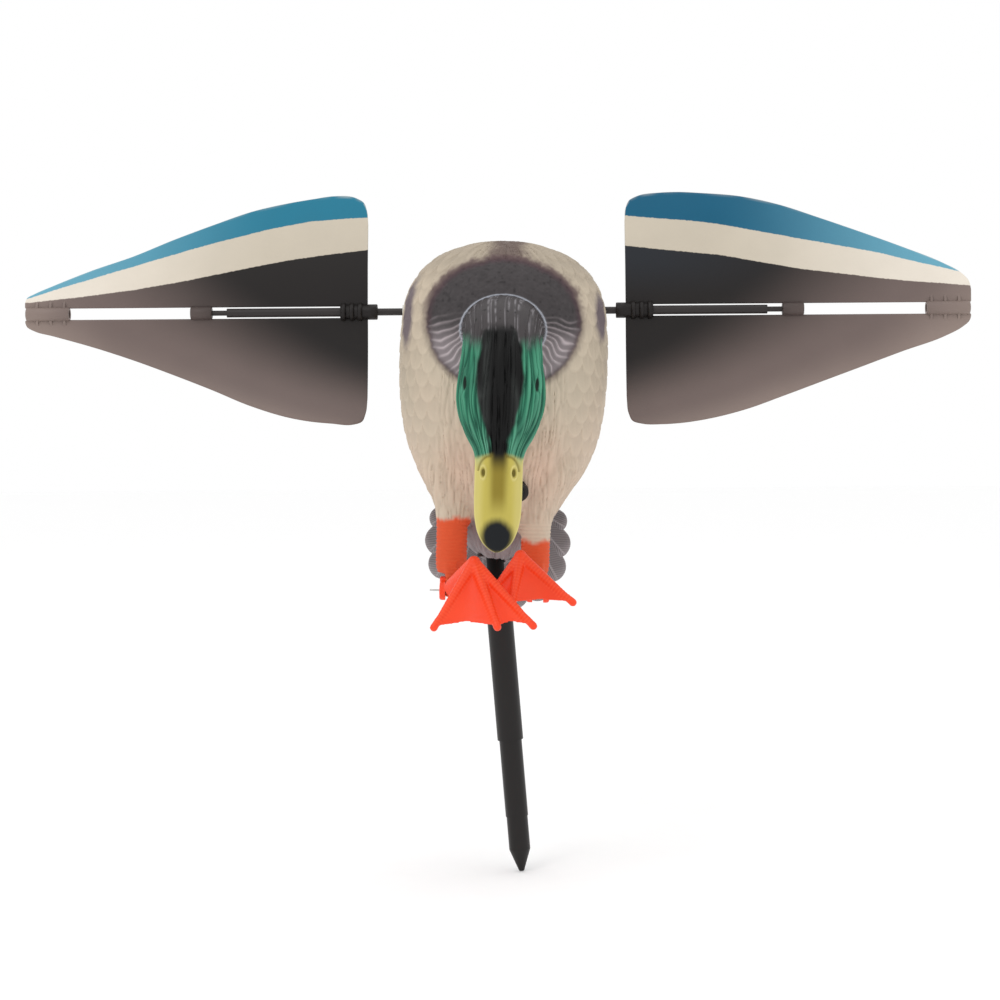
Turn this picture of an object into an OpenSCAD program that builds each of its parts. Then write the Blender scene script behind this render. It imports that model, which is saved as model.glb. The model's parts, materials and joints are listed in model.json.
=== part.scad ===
// Motion wing decoy: a landing drake on a two-piece pole, with a motor that spins a pair of
// slip-on wings. The row's origin is the middle of the ground spike's shank, on the pole's
// axis, +Z up. The duck faces -Y and its wing axle runs along X.

/* [Wings] */
// Length of one wing, root to tip
wing_length = 251; // [200:1:300]
// Distance from the duck's middle to the left wing's root edge
left_root = 98; // [90:1:110]
// Distance from the duck's middle to the right wing's root edge
right_root = 90; // [88:1:110]
// Wall of the moulded blade
blade_wall = 2; // [1.2:0.1:3]
// How far the scooped blade's edges stand off the axle's plane
blade_scoop = 22; // [0:1:35]
// Height of the slot along each wing
slot_height = 8.4; // [7:0.1:12]
// Diameter of the wing axles
axle_d = 5.2; // [4.8:0.1:5.6]

/* [Duck] */
// Wall of the hollow body
body_wall = 3; // [2.5:0.1:4]
// Roll of the duck on its level axle, head to the right
body_roll = 1.8; // [0:0.1:3]
// Distance of each leg from the duck's midplane
leg_x = 31; // [26:1:34]
// Radius of the shins
shin_r = 11.5; // [9:0.1:13]
// Width of the back hatch
hatch_w = 76; // [60:1:90]
// Height of the back hatch
hatch_h = 78; // [60:1:80]

/* [Pole] */
// Sideways lean of the pole
pole_lean = 4.5; // [0:0.1:6]
// Outer diameter of the upper pole
upper_pole_d = 19.05; // [18.6:0.05:22]
// Outer diameter of the lower pole
lower_pole_d = 16.6; // [15:0.1:16.8]
// Diameter of the peg that carries the duck
peg_d = 12.7; // [11:0.1:12.7]
// Length of the upper pole
upper_pole_l = 107; // [90:1:200]
// Length of the lower pole that shows below the upper one
lower_pole_show = 57; // [40:1:300]

/* [Hidden] */
$fn = 48;
slip = 0.05;                // radial clearance of every running fit
smooth = 28;                // points round a moulded section

// Heights along the pole, from the middle of the spike's shank
shank_l = 25;
spike_r = lower_pole_d / 2 - 0.5;
lower_foot = shank_l / 2;
upper_foot = lower_foot + lower_pole_show;
shoulder = upper_foot + upper_pole_l;
belly = shoulder + 26;
peg_plug = 26;
peg_top = belly + 66;
pole_bore_r = lower_pole_d / 2 + slip;

// The axle's middle, from the point where the pole enters the duck
belly_below_axle = 182;
belly_left_of_axle = 6.5;
axle_x = belly_left_of_axle - belly * sin(pole_lean);
axle_z = belly_below_axle + belly * cos(pole_lean);
axle_r = axle_d / 2;

// Body outline, bottom to top: [height above the axle, half width, front, back]
BODY = [
    [-187, 4, 18, 56], [-184, 10, 2, 64], [-178, 19, -13, 72], [-166, 30, -30, 79],
    [-150, 40, -45, 84], [-132, 51, -57, 87], [-115, 62, -66, 88.5], [-95, 70, -74, 88],
    [-70, 74.5, -79, 85], [-40, 76, -79, 79], [-12, 75, -74, 70], [10, 71.5, -66, 60],
    [26, 63, -57, 49], [37, 53, -47, 37], [45, 39, -36, 24], [49.5, 20, -22, 8]
];
BODY_MIDDLE = -70;
BODY_HALF_HEIGHT = 119;

// Neck, head and bill along their spine: [y, z, dip of the spine, half width, half thickness]
HEAD = [
    [-62, -10, 4, 32, 28], [-74, -10, 12, 30.5, 26], [-88, -13, 32, 29, 24.5], [-100, -23, 55, 29, 24],
    [-107.5, -37, 72, 29.5, 24], [-111, -52, 82, 30, 24], [-113, -66, 85, 29, 23.2],
    [-115, -78, 86, 26, 20.5], [-117, -89, 86, 22, 17], [-119, -98, 85, 17.5, 13],
    [-121.5, -105, 82, 15.6, 9.5], [-124, -115, 81, 15.4, 6.6], [-127, -131, 81, 15.4, 4.8],
    [-129, -145, 84, 15, 4], [-130, -154, 86, 13, 3.4], [-130.6, -161, 87, 8.6, 2.8], [-131, -165, 88, 3.6, 2]
];

// Wing outlines from the root: [distance, reach above the axle, reach below the axle]
LEFT_WING = [
    [0, 67, 66], [1.5, 76, 75.5], [4.5, 82, 80.5], [12, 85.5, 82], [26, 86.3, 81], [41, 85, 79.5],
    [55, 83.2, 77], [85, 76.7, 68], [114, 66.2, 56], [143, 55, 44.7], [172, 43.5, 34], [201, 33, 23.5],
    [231, 22.5, 14], [245, 17, 10], [251, 12, 7]
];
RIGHT_WING = [
    [0, 68, 66], [1.5, 77, 76], [4.5, 82, 81], [12, 85, 82.6], [26, 87, 83], [41, 87.4, 82], [55, 86.6, 80],
    [85, 82.5, 73], [114, 75.5, 63], [143, 66, 52.5], [172, 56.2, 42], [201, 45.6, 31.4], [231, 34, 21],
    [245, 26, 14], [251, 17, 9]
];
BLADE_STEPS = 7;

// Slot ends, centre bridge and tip barrel, from the wing's root
slot_start = 20;
bridge = [116, 132];
barrel = [226, 249];
sleeve_r = 3.25;
sleeve_end = 103;
magnet_l = 4;
axle_reach = 95;
collar_l = 7;
collar_r = 5.65;

// Feet in the duck's frame: [instep, outer toe, middle toe, inner toe]
LEFT_TOES = [[-14, -86, -177], [-43, -105, -221], [3, -110, -220], [28, -106, -218]];
RIGHT_TOES = [[18, -74, -173], [55, -88, -203], [13, -93, -204], [0, -82, -196]];
ankle_y = -46;
ankle_z = -201;
foot_pin_r = 0.6;
shin_y = -38;
shin_end = -189;

// Back hatch and its hinge
hatch_top = -24;
hinge_y = 76;
hinge_z = -19.6;
hinge_r = 3;
hinge_pin_r = 1;
knuckle = 15.6;
latch_z = -88;

// Inside
can_r = 18;
can_l = 56;
shaft_r = 2.5;
shaft_l = 90;
chassis_w = 80;
shelf_z = -106;
battery = [64, 47, 69];
switch_at = [14.5, -57.5, -127];
switch_dip = 28;

// Wires: points from the axle's middle
RED_ROUTE = [[22, 6.8, -25], [34, 12, -26], [46, 2, -40], [48, -20, -62], [40, -36, -88], [17, -38.5, -113]];
BLACK_ROUTE = [[-22, 6.8, -25], [-32, 14, -27], [-42, 12, -24], [-40, 2, -14], [-29.5, -9, -9]];

function squircle(t, e) = [sign(cos(t)) * pow(abs(cos(t)), e), sign(sin(t)) * pow(abs(sin(t)), e)];

module at_axle() translate([axle_x, 0, axle_z]) children();
module at_duck() at_axle() rotate([0, body_roll, 0]) children();
module on_pole() rotate([0, -pole_lean, 0]) children();
module along_x(x) translate([x, 0, 0]) rotate([0, 90, 0]) children();
module along_y(p) translate(p) rotate([-90, 0, 0]) children();
module hole_x(x1, x2, r) along_x(x1) cylinder(h = x2 - x1, r = r);

// A closed solid through a list of rings that all have the same number of points
module skin(rings) {
    n = len(rings[0]);
    last = (len(rings) - 1) * n;
    polyhedron(
        [for (ring = rings) each ring],
        concat(
            [[for (i = [0 : n - 1]) i]],
            [[for (i = [n - 1 : -1 : 0]) last + i]],
            [for (j = [0 : n : last - n], i = [0 : n - 1], k = [0, 1])
                k == 0 ? [j + i, j + n + i, j + n + (i + 1) % n]
                    : [j + i, j + n + (i + 1) % n, j + (i + 1) % n]]
        ),
        convexity = 6
    );
}

// A round-ended finger from a to b
module tapered(a, b, r1, r2) hull() {
    translate(a) sphere(r = r1, $fn = 12);
    translate(b) sphere(r = r2, $fn = 12);
}

// A tube swept along hand-picked points
module wire(route, r) {
    last = len(route) - 1;
    skin([for (i = [0 : last])
        let (t = route[min(i + 1, last)] - route[max(i - 1, 0)], d = t / norm(t),
             u = cross([0, 1, 0.2], d) / norm(cross([0, 1, 0.2], d)), v = cross(d, u))
        [for (a = [0 : 45 : 315]) route[i] + r * (cos(a) * u + sin(a) * v)]]);
}

// ---- Duck ----

module body_blank(inset) {
    skin([for (s = BODY)
        let (z = BODY_MIDDLE + (s[0] - BODY_MIDDLE) * (1 - inset / BODY_HALF_HEIGHT),
             a = max(s[1] - inset, 1.5), b = max((s[3] - s[2]) / 2 - inset, 3), c = (s[2] + s[3]) / 2)
        [for (t = [0 : 360 / smooth : 359]) [a * squircle(t, 0.94)[0], c + b * squircle(t, 0.94)[1], z]]]);
}

module leg(side) {
    hull() {
        translate([side * 33, -24, -98]) sphere(r = 29, $fn = 20);
        translate([side * leg_x, shin_y, -138]) sphere(r = shin_r + 2, $fn = 20);
    }
    translate([side * leg_x, shin_y, shin_end]) cylinder(h = -138 - shin_end, r = shin_r);
    translate([side * leg_x - 3.5, ankle_y - 4, ankle_z - 5]) cube([7, 8, 30]);
}

module rounded_plate(w, h, r) {
    square([w - 2 * r, h], center = true);
    square([w, h - 2 * r], center = true);
    for (x = [-1, 1], y = [-1, 1]) translate([x * (w / 2 - r), y * (h / 2 - r)]) circle(r);
}

module hatch_prism(gap) {
    translate([0, 120, hatch_top - hatch_h / 2]) rotate([90, 0, 0])
        linear_extrude(60) rounded_plate(hatch_w + 2 * gap, hatch_h + 2 * gap, 8 + gap);
}

module at_hinge(x) translate([x, hinge_y, hinge_z]) rotate([0, 90, 0]) children();

module at_switch() translate(switch_at) rotate([90 + switch_dip, 0, 0]) children();

module screw_places(spread, height) for (x = [-spread, spread]) translate([x, 0, height]) children();

module body_shell() color("#c8baa5") {
    difference() {
        at_duck() difference() {
            union() {
                body_blank(0);
                leg(-1);
                leg(1);
                for (side = [-1, 1]) {
                    at_hinge(side > 0 ? 16 : -30) cylinder(h = 14, r = hinge_r);
                    translate([side * 23 - 7, 69, hinge_z]) cube([14, 8, 4]);
                }
            }
            body_blank(body_wall);
            hatch_prism(0.4);
            at_hinge(-31) cylinder(h = 62, r = hinge_pin_r);
            at_hinge(-16) cylinder(h = 32, r = hinge_r + 0.5);
            tail_plate(0.15);
            at_switch() translate([0, 0, -20]) cylinder(h = 40, r = 7);
            along_y([0, -90, -10]) cylinder(h = 40, r = 3.2);
            for (side = [-1, 1])
                translate([0, ankle_y, ankle_z]) hole_x(side * leg_x - 6, side * leg_x + 6, foot_pin_r);
        }
        at_axle() hole_x(-90, 90, 5);
        on_pole() {
            translate([0, 0, belly - 20]) cylinder(h = 40, r = peg_d / 2 + 0.5);
            screw_places(10, belly - 8) {
                cylinder(h = 13.5, r = 3.2);
                cylinder(h = 30, r = 1.7);
            }
        }
    }
}

module back_hatch() color("#c8baa5") at_duck() difference() {
    union() {
        intersection() {
            difference() {
                body_blank(0);
                body_blank(body_wall);
            }
            hatch_prism(-0.4);
        }
        at_hinge(-knuckle) cylinder(h = 2 * knuckle, r = hinge_r);
        translate([-knuckle, hinge_y - 2, hinge_z - 11]) cube([2 * knuckle, 4, 11]);
    }
    at_hinge(-20) cylinder(h = 40, r = hinge_pin_r + slip);
    along_y([0, 60, latch_z]) cylinder(h = 50, r = 2.5 + slip);
}

module hatch_hinge_pin() color("silver") at_duck() at_hinge(-30) cylinder(h = 60, r = hinge_pin_r);

module hatch_latch() color("#2b2622") at_duck() {
    along_y([0, 79, latch_z]) cylinder(h = 12, r = 2.5);
    along_y([0, 88.4, latch_z]) cylinder(h = 3, r = 7);
    translate([-1.5, 91, latch_z - 7]) cube([3, 3, 14]);
    translate([-3, 79, latch_z - 2]) cube([18, 2.5, 4]);
}

module head() color("#3f8f6f") at_duck() difference() {
    skin([for (s = HEAD)
        let (w = [0, -sin(s[2]), cos(s[2])])
        [for (t = [0 : 360 / smooth : 359]) [s[3] * cos(t), s[0], s[1]] + s[4] * sin(t) * w]]);
    body_blank(0);
    along_y([0, -94, -10]) cylinder(h = 40, r = 3);
}

module neck_bolt() color("silver") at_duck() {
    along_y([0, -93, -10]) cylinder(h = 28.5, r = 3);
    along_y([0, -64.5, -10]) cylinder(h = 5, r = 5, $fn = 6);
}

module neck_washer() color("silver") at_duck() difference() {
    along_y([0, -66.5, -10]) cylinder(h = 2, r = 7);
    along_y([0, -67, -10]) cylinder(h = 4, r = 3.1);
}

// Feather tips of the tail: [across, height below the axle, radius]
TAIL = [[44, -157, 9], [44, -174, 12], [41, -192, 12], [31, -207, 12], [12, -213, 13]];

module tail_plate(grow) {
    translate([0, 74 + grow, 0]) rotate([90, 0, 0]) {
        for (f = TAIL, side = [-1, 1])
            translate([side * f[0], f[1], 0]) cylinder(h = 4 + 2 * grow, r = f[2] + grow);
        linear_extrude(4 + 2 * grow)
            polygon(concat([[-16, -140], [16, -140], [42, -152]], [for (f = TAIL) [f[0] + 2, f[1] - 1]],
                [for (i = [len(TAIL) - 1 : -1 : 0]) [-TAIL[i][0] - 2, TAIL[i][1] - 1]], [[-42, -152]]));
    }
}

module tail_fan() color("#7c7475") at_duck() tail_plate(0);

module foot(x, toes) {
    difference() {
        union() {
            translate([x, ankle_y, ankle_z]) hole_x(-8.1, 8.1, 7);
            translate([x - 8.1, ankle_y, ankle_z - 2]) cube([16.2, 14, 11]);
            tapered([x, ankle_y - 3, ankle_z + 1], toes[0], 6.5, 4.5);
            for (i = [1 : 3]) tapered(toes[0], toes[i], 4.3, 2.2);
            for (i = [1, 2]) hull()
                for (p = [toes[0], toes[i], toes[i + 1]]) translate(p) sphere(r = 1.2, $fn = 8);
        }
        translate([x - 3.9, ankle_y, ankle_z]) hole_x(0, 7.8, 9);
        translate([x - 3.9, ankle_y - 8.7, ankle_z]) cube([7.8, 30, 20]);
        translate([x, ankle_y, ankle_z]) hole_x(-20, 20, foot_pin_r + slip);
    }
}

module left_foot() color("#fb4b28") at_duck() foot(-leg_x, LEFT_TOES);
module right_foot() color("#fb4b28") at_duck() foot(leg_x, RIGHT_TOES);

module foot_pin(x1, x2) color("silver") at_duck() translate([0, ankle_y, ankle_z]) hole_x(x1, x2, foot_pin_r);
module left_foot_pin() foot_pin(-leg_x - 15, -leg_x + 9);
module right_foot_pin() foot_pin(leg_x - 9, leg_x + 10);

// ---- Chassis, motor, battery and switch ----

module chassis() color("#3a3a3c") difference() {
    at_axle() {
        translate([-chassis_w / 2, -24, shelf_z]) cube([chassis_w, 3.5, 130]);
        translate([-chassis_w / 2, -24, shelf_z]) cube([chassis_w, 60, 4]);
        translate([-chassis_w / 2, 32, shelf_z]) cube([chassis_w, 4, 14]);
        translate([-22, -20.6, -30]) cube([44, 12.6, 61]);
    }
    at_axle() hole_x(-30, 30, can_r + 0.02);
    at_axle() for (z = [-25, 25]) along_y([0, -30, z]) cylinder(h = 30, r = 1.5);
    chassis_screw_places() cylinder(h = 60, r = 1.6, center = true);
}

module chassis_screw_places() {
    socket_x = axle_x - belly_left_of_axle - (belly_below_axle + shelf_z) * tan(pole_lean);
    for (x = [-10.5, 10.5]) translate([socket_x + x, 0, axle_z + shelf_z]) children();
}

module chassis_screws() color("silver") chassis_screw_places() {
    translate([0, 0, -11]) cylinder(h = 15, r = 1.5);
    translate([0, 0, 4]) cylinder(h = 2, r = 3);
}

module pole_socket() color("#3a3a3c") difference() {
    union() {
        on_pole() translate([0, 0, belly + 13]) cylinder(h = 76, r = 9);
        on_pole() translate([0, 0, belly + 64]) cylinder(h = 20, r = 15);
        intersection() {
            on_pole() translate([0, 0, belly + 5.8]) cylinder(h = 9.2, r = 13.5);
            at_duck() body_blank(body_wall + slip);
        }
    }
    on_pole() translate([0, 0, belly - 10]) cylinder(h = peg_top + 10.3 - belly, r = peg_d / 2 + slip);
    on_pole() screw_places(10, belly) cylinder(h = 20, r = 1.5);
    translate([-60, -60, axle_z + shelf_z]) cube([120, 120, 60]);
    chassis_screw_places() translate([0, 0, -11]) cylinder(h = 20, r = 1.5);
}

module socket_screws() color("silver") on_pole() screw_places(10, belly + 3.5) {
    cylinder(h = 2, r = 2.8);
    cylinder(h = 11, r = 1.5);
}

module motor_can() color("#8d9094") at_axle() difference() {
    union() {
        hole_x(-can_l / 2, can_l / 2, can_r);
        hole_x(-can_l / 2 - 3, can_l / 2 + 3, 6);
    }
    hole_x(-40, 40, shaft_r + slip);
}

module motor_strap() color("silver") at_axle() difference() {
    union() {
        hole_x(-6, 6, can_r + 2.2);
        for (side = [-1, 1]) translate([-6, -7.9, side * 24.5 - 6]) cube([12, 2, 12]);
    }
    hole_x(-7, 7, can_r + 0.02);
    translate([-7, -40, -40]) cube([14, 32.1, 80]);
    for (z = [-25, 25]) along_y([0, -10, z]) cylinder(h = 10, r = 1.6);
}

module strap_screws() color("silver") at_axle() for (z = [-25, 25]) {
    along_y([0, -19, z]) cylinder(h = 13.1, r = 1.5);
    along_y([0, -5.9, z]) cylinder(h = 2, r = 3);
}

module bearing(side) color("#d9d9d4") at_axle() difference() {
    union() {
        along_x(side > 0 ? 64.5 : -67.5) cylinder(h = 3, r = 7.5);
        along_x(side > 0 ? 67.5 : -72.5) cylinder(h = 5, r = 4.95);
    }
    hole_x(-80, 80, axle_r + slip);
}
module left_bearing() bearing(-1);
module right_bearing() bearing(1);

module battery_pack() color("#2c2f36") at_axle() {
    translate([-battery[0] / 2, -18, shelf_z + 6.4]) cube(battery);
}

module battery_terminals() color("silver") at_axle()
    for (x = [-22, 22]) translate([x - 3, 4.6, shelf_z + 6.4 + battery[2]]) cube([6, 0.8, 6.6]);

module red_lead() color("#b02418") at_axle() wire(RED_ROUTE, 1.2);
module black_lead() color("#1d1d1d") at_axle() wire(BLACK_ROUTE, 1.2);

module switch_housing() color("#1f1f20") at_duck() at_switch() difference() {
    union() {
        translate([0, 0, -18]) cylinder(h = 20, r = 6.9);
        translate([0, 0, 2]) cylinder(h = 2.6, r = 8);
        translate([0, 0, -20]) cylinder(h = 11.5, r = 9);
    }
    translate([0, 0, -8]) cylinder(h = 20, r = 5.6);
}

module power_button() color("#141414") at_duck() at_switch() {
    translate([0, 0, -4]) cylinder(h = 8.6, r = 5.5);
    translate([0, 0, 4.6]) cylinder(h = 1.6, r1 = 5.5, r2 = 4);
}

// ---- Rotor and wings ----

module motor_shaft() color("silver") at_axle() hole_x(-shaft_l / 2, shaft_l / 2, shaft_r);

module coupler() difference() {
    hole_x(34, 58, 6);
    hole_x(30, shaft_l / 2 + 0.5, shaft_r);
    hole_x(shaft_l / 2 + 0.5, 60, axle_r);
    for (x = [40, 52]) translate([x, 0, 0]) cylinder(h = 10, r = 1.5);
}
module left_coupler() color("#b58a3c") at_axle() mirror([1, 0, 0]) coupler();
module right_coupler() color("#b58a3c") at_axle() coupler();

module coupler_screws() color("#222222") at_axle()
    for (side = [-1, 1], x = [40, 52]) translate([side * x, 0, axle_r]) cylinder(h = 4, r = 1.5);

module axle(root) difference() {
    hole_x(shaft_l / 2 + 0.5, root + axle_reach, axle_r);
    translate([root - collar_l + 1.6, 0, -5]) cylinder(h = 10, r = 1);
}
module left_axle() color("#2e2a29") at_axle() mirror([1, 0, 0]) axle(left_root);
module right_axle() color("#2e2a29") at_axle() axle(right_root);

module drive_pins() color("silver") at_axle()
    for (x = [-left_root + collar_l - 1.6, right_root - collar_l + 1.6])
        translate([x, 0, -4.5]) cylinder(h = 9, r = 1);

// Half of a wing, above the slot (way 1) or below it (way -1), as a scooped sheet
module blade(outline, way) {
    function reach(s) = way > 0 ? s[1] : s[2];
    function bow(z) = blade_scoop * (z / 87) * (z / 87);
    skin([for (s = outline)
        let (z0 = slot_height / 2, zs = [for (k = [0 : BLADE_STEPS]) z0 + (reach(s) - z0) * k / BLADE_STEPS])
        concat(
            [for (k = [0 : BLADE_STEPS]) [s[0], bow(zs[k]) + blade_wall / 2, zs[k]]],
            [for (k = [BLADE_STEPS : -1 : 0]) [s[0], bow(zs[k]) - blade_wall / 2, zs[k]]])]);
}

module gusset(u, way) {
    translate([u - 0.8, -2.5, way > 0 ? 3 : -9.5]) cube([1.6, 5, 6.5]);
}

module wing_at_origin(outline) difference() {
    union() {
        scale(wing_length / 251) {
            blade(outline, 1);
            rotate([180, 0, 0]) blade(outline, -1);
        }
        hole_x(-collar_l, 1, collar_r);
        hole_x(0, slot_start, 5.6);
        for (u = [5, 11, 17]) hole_x(u, u + 2.4, 6.6);
        hole_x(bridge[0], bridge[1], 4.8);
        hole_x(barrel[0], barrel[1], 5);
        for (u = [230, 237, 244], way = [-1, 1]) gusset(u, way);
    }
    hole_x(-20, slot_start + 1, axle_r + slip);
    hole_x(12, slot_start + 1, sleeve_r);
    hole_x(bridge[0] - 1, bridge[0] + 8, 1.9);
    hole_x(barrel[0] - 1, barrel[0] + 14, 3);
    translate([-collar_l - 1, -1.15, -10]) cube([4, 2.3, 20]);
}

module at_left_root() at_axle() mirror([1, 0, 0]) translate([left_root, 0, 0]) children();
module at_right_root() at_axle() translate([right_root, 0, 0]) children();

module left_wing() color("#3c3532") at_left_root() wing_at_origin(LEFT_WING);
module right_wing() color("#3c3532") at_right_root() wing_at_origin(RIGHT_WING);

module wing_sleeve() difference() {
    union() {
        hole_x(12, sleeve_end, sleeve_r);
        hole_x(sleeve_end, bridge[0] + 7.5, 1.9);
    }
    hole_x(0, axle_reach + 0.3, axle_r + slip);
    hole_x(axle_reach, axle_reach + 0.3 + magnet_l, axle_r + slip);
}
module left_wing_sleeve() color("#1c1b1b") at_left_root() wing_sleeve();
module right_wing_sleeve() color("#1c1b1b") at_right_root() wing_sleeve();

module wing_magnet() hole_x(axle_reach + 0.3, axle_reach + 0.3 + magnet_l, axle_r + slip);
module left_wing_magnet() color("silver") at_left_root() wing_magnet();
module right_wing_magnet() color("silver") at_right_root() wing_magnet();

// ---- Pole ----

module pole_peg() color("#211d1c") on_pole() difference() {
    union() {
        translate([0, 0, shoulder]) cylinder(h = peg_top - shoulder, r = peg_d / 2);
        translate([0, 0, shoulder - peg_plug]) cylinder(h = peg_plug, r = pole_bore_r - 0.02);
    }
    translate([-20, 0, shoulder - 12]) hole_x(0, 40, 1.6);
}

module upper_pole() color("#2e2827") on_pole() difference() {
    translate([0, 0, upper_foot]) cylinder(h = upper_pole_l, r = upper_pole_d / 2);
    translate([0, 0, upper_foot - 1]) cylinder(h = upper_pole_l + 2, r = pole_bore_r);
    translate([-20, 0, shoulder - 12]) hole_x(0, 40, 1.6);
}

module peg_rivet() color("silver") on_pole() translate([0, 0, shoulder - 12]) {
    hole_x(-upper_pole_d / 2, upper_pole_d / 2, 1.6);
    hole_x(-upper_pole_d / 2 - 0.8, -upper_pole_d / 2, 2.6);
    hole_x(upper_pole_d / 2, upper_pole_d / 2 + 0.8, 2.6);
}

module lower_pole() color("#2e2827") on_pole() difference() {
    translate([0, 0, lower_foot]) cylinder(h = shoulder - peg_plug - lower_foot, r = lower_pole_d / 2);
    translate([0, 0, lower_foot - 1]) cylinder(h = 400, r = lower_pole_d / 2 - 1.2);
}

module ground_spike() color("#2e2827") on_pole() {
    translate([0, 0, -shank_l / 2]) cylinder(h = shank_l, r = spike_r);
    translate([0, 0, -shank_l / 2 - 16]) cylinder(h = 16, r1 = 2, r2 = spike_r);
    translate([0, 0, shank_l / 2]) cylinder(h = 30, r = lower_pole_d / 2 - 1.2);
}

body_shell();
back_hatch();
hatch_hinge_pin();
hatch_latch();
head();
neck_bolt();
neck_washer();
tail_fan();
left_foot();
right_foot();
left_foot_pin();
right_foot_pin();
chassis();
chassis_screws();
pole_socket();
socket_screws();
motor_can();
motor_strap();
strap_screws();
left_bearing();
right_bearing();
battery_pack();
battery_terminals();
red_lead();
black_lead();
switch_housing();
power_button();
motor_shaft();
left_coupler();
right_coupler();
coupler_screws();
left_axle();
right_axle();
drive_pins();
left_wing();
right_wing();
left_wing_sleeve();
right_wing_sleeve();
left_wing_magnet();
right_wing_magnet();
pole_peg();
upper_pole();
peg_rivet();
lower_pole();
ground_spike();
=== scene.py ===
"""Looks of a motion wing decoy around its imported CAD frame.

Builders work in millimetres in the duck's own frame (X across, -Y the way it faces, Z up, origin in the
middle of the wing axle), and place() turns that into metres in the row frame."""
import json
import math

import bpy
import numpy as np
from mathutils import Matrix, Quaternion, Vector


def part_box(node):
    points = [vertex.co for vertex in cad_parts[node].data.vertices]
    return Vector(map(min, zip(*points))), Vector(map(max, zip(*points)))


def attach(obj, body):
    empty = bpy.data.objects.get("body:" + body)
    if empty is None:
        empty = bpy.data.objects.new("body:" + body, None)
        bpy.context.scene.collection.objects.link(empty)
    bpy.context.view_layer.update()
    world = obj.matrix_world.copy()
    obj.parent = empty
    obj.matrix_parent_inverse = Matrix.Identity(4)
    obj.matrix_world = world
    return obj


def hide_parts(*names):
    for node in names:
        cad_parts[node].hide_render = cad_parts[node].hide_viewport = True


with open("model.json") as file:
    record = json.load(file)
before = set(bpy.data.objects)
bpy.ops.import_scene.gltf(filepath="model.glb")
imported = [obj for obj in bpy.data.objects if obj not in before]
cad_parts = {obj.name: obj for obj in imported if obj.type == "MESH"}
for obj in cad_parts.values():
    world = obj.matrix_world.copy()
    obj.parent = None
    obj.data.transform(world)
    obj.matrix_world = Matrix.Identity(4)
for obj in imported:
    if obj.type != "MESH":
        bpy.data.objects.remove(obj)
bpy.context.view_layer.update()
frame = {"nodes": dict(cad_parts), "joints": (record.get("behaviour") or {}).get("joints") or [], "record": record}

MM = 0.001
joints = {j["name"]: j for j in frame["joints"]}
AXLE = np.array(joints["wing_spin"]["pos_m"])
DUCK_X = np.array(joints["hatch_hinge"]["axis"])
DUCK_Z = np.cross(DUCK_X, [0, 1, 0])


# ---- Small tools ----

def place(p):
    """Points of the duck's frame, in millimetres, to the row frame in metres."""
    p = np.asarray(p, float)
    return AXLE + MM * (p[..., 0:1] * DUCK_X + p[..., 1:2] * np.array([0, 1, 0]) + p[..., 2:3] * DUCK_Z)


def place_level(p):
    """The same for a piece on the axle, which is level: it has no roll."""
    return AXLE + MM * np.asarray(p, float)


def step(a, b, x):
    """0 before a, 1 after b, smooth between."""
    t = np.clip((x - a) / (b - a), 0, 1)
    return t * t * (3 - 2 * t)


def bell(x, width):
    return np.exp(-(x / width) ** 2)


def mix(a, b, t):
    t = np.asarray(t)[..., None]
    return np.asarray(a) * (1 - t) + np.asarray(b) * t


def srgb(r, g, b):
    """A colour given as 0-255 screen values, as linear light."""
    c = np.array([r, g, b]) / 255
    return np.where(c <= 0.04045, c / 12.92, ((c + 0.055) / 1.055) ** 2.4)


def lattice(ix, iy, iz, seed):
    h = (ix * 374761393 + iy * 668265263 + iz * 1274126177 + seed * 974711) & 0xFFFFFFFF
    h = ((h ^ (h >> 13)) * 1103515245) & 0xFFFFFFFF
    return ((h ^ (h >> 16)) & 0xFFFF) / 65535


def noise(p, seed=1):
    """Smooth value noise, 0 to 1, with cells one unit wide."""
    p = np.asarray(p, float)
    i = np.floor(p).astype(np.int64)
    f = p - i
    f = f * f * (3 - 2 * f)
    out = 0
    for dx in (0, 1):
        for dy in (0, 1):
            for dz in (0, 1):
                w = (f[..., 0] if dx else 1 - f[..., 0]) * (f[..., 1] if dy else 1 - f[..., 1])
                w = w * (f[..., 2] if dz else 1 - f[..., 2])
                out = out + w * lattice(i[..., 0] + dx, i[..., 1] + dy, i[..., 2] + dz, seed)
    return out


def noise2(u, v, seed=1):
    return noise(np.stack([u, v, np.full_like(u, 0.5)], -1), seed)


def through(table, count):
    """A smooth curve through the rows of a table, sampled count times at even spacing."""
    p = np.array(table, float)
    t = np.concatenate([[0], np.cumsum(np.linalg.norm(np.diff(p, axis=0), axis=1))])
    m = np.gradient(p, t, axis=0)
    u = np.linspace(0, t[-1], count)
    i = np.clip(np.searchsorted(t, u, "right") - 1, 0, len(t) - 2)
    h = (t[i + 1] - t[i])[:, None]
    s = ((u - t[i]) / h[:, 0])[:, None]
    return ((2 * s**3 - 3 * s**2 + 1) * p[i] + (s**3 - 2 * s**2 + s) * h * m[i]
            + (-2 * s**3 + 3 * s**2) * p[i + 1] + (s**3 - s**2) * h * m[i + 1])


def tube_faces(rows, cols, start=0):
    """Quads of a tube of rings, and a fan at each end that needs two more points after the rings."""
    j, i = np.meshgrid(np.arange(rows - 1), np.arange(cols), indexing="ij")
    k = (i + 1) % cols
    quads = np.stack([j * cols + i, j * cols + k, (j + 1) * cols + k, (j + 1) * cols + i], -1).reshape(-1, 4)
    i = np.arange(cols)
    k = (i + 1) % cols
    low = np.stack([np.full(cols, rows * cols), k, i], -1)
    high = np.stack([np.full(cols, rows * cols + 1), (rows - 1) * cols + i, (rows - 1) * cols + k], -1)
    return [f for part in (quads, low, high) for f in (part + start).tolist()]


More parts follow.
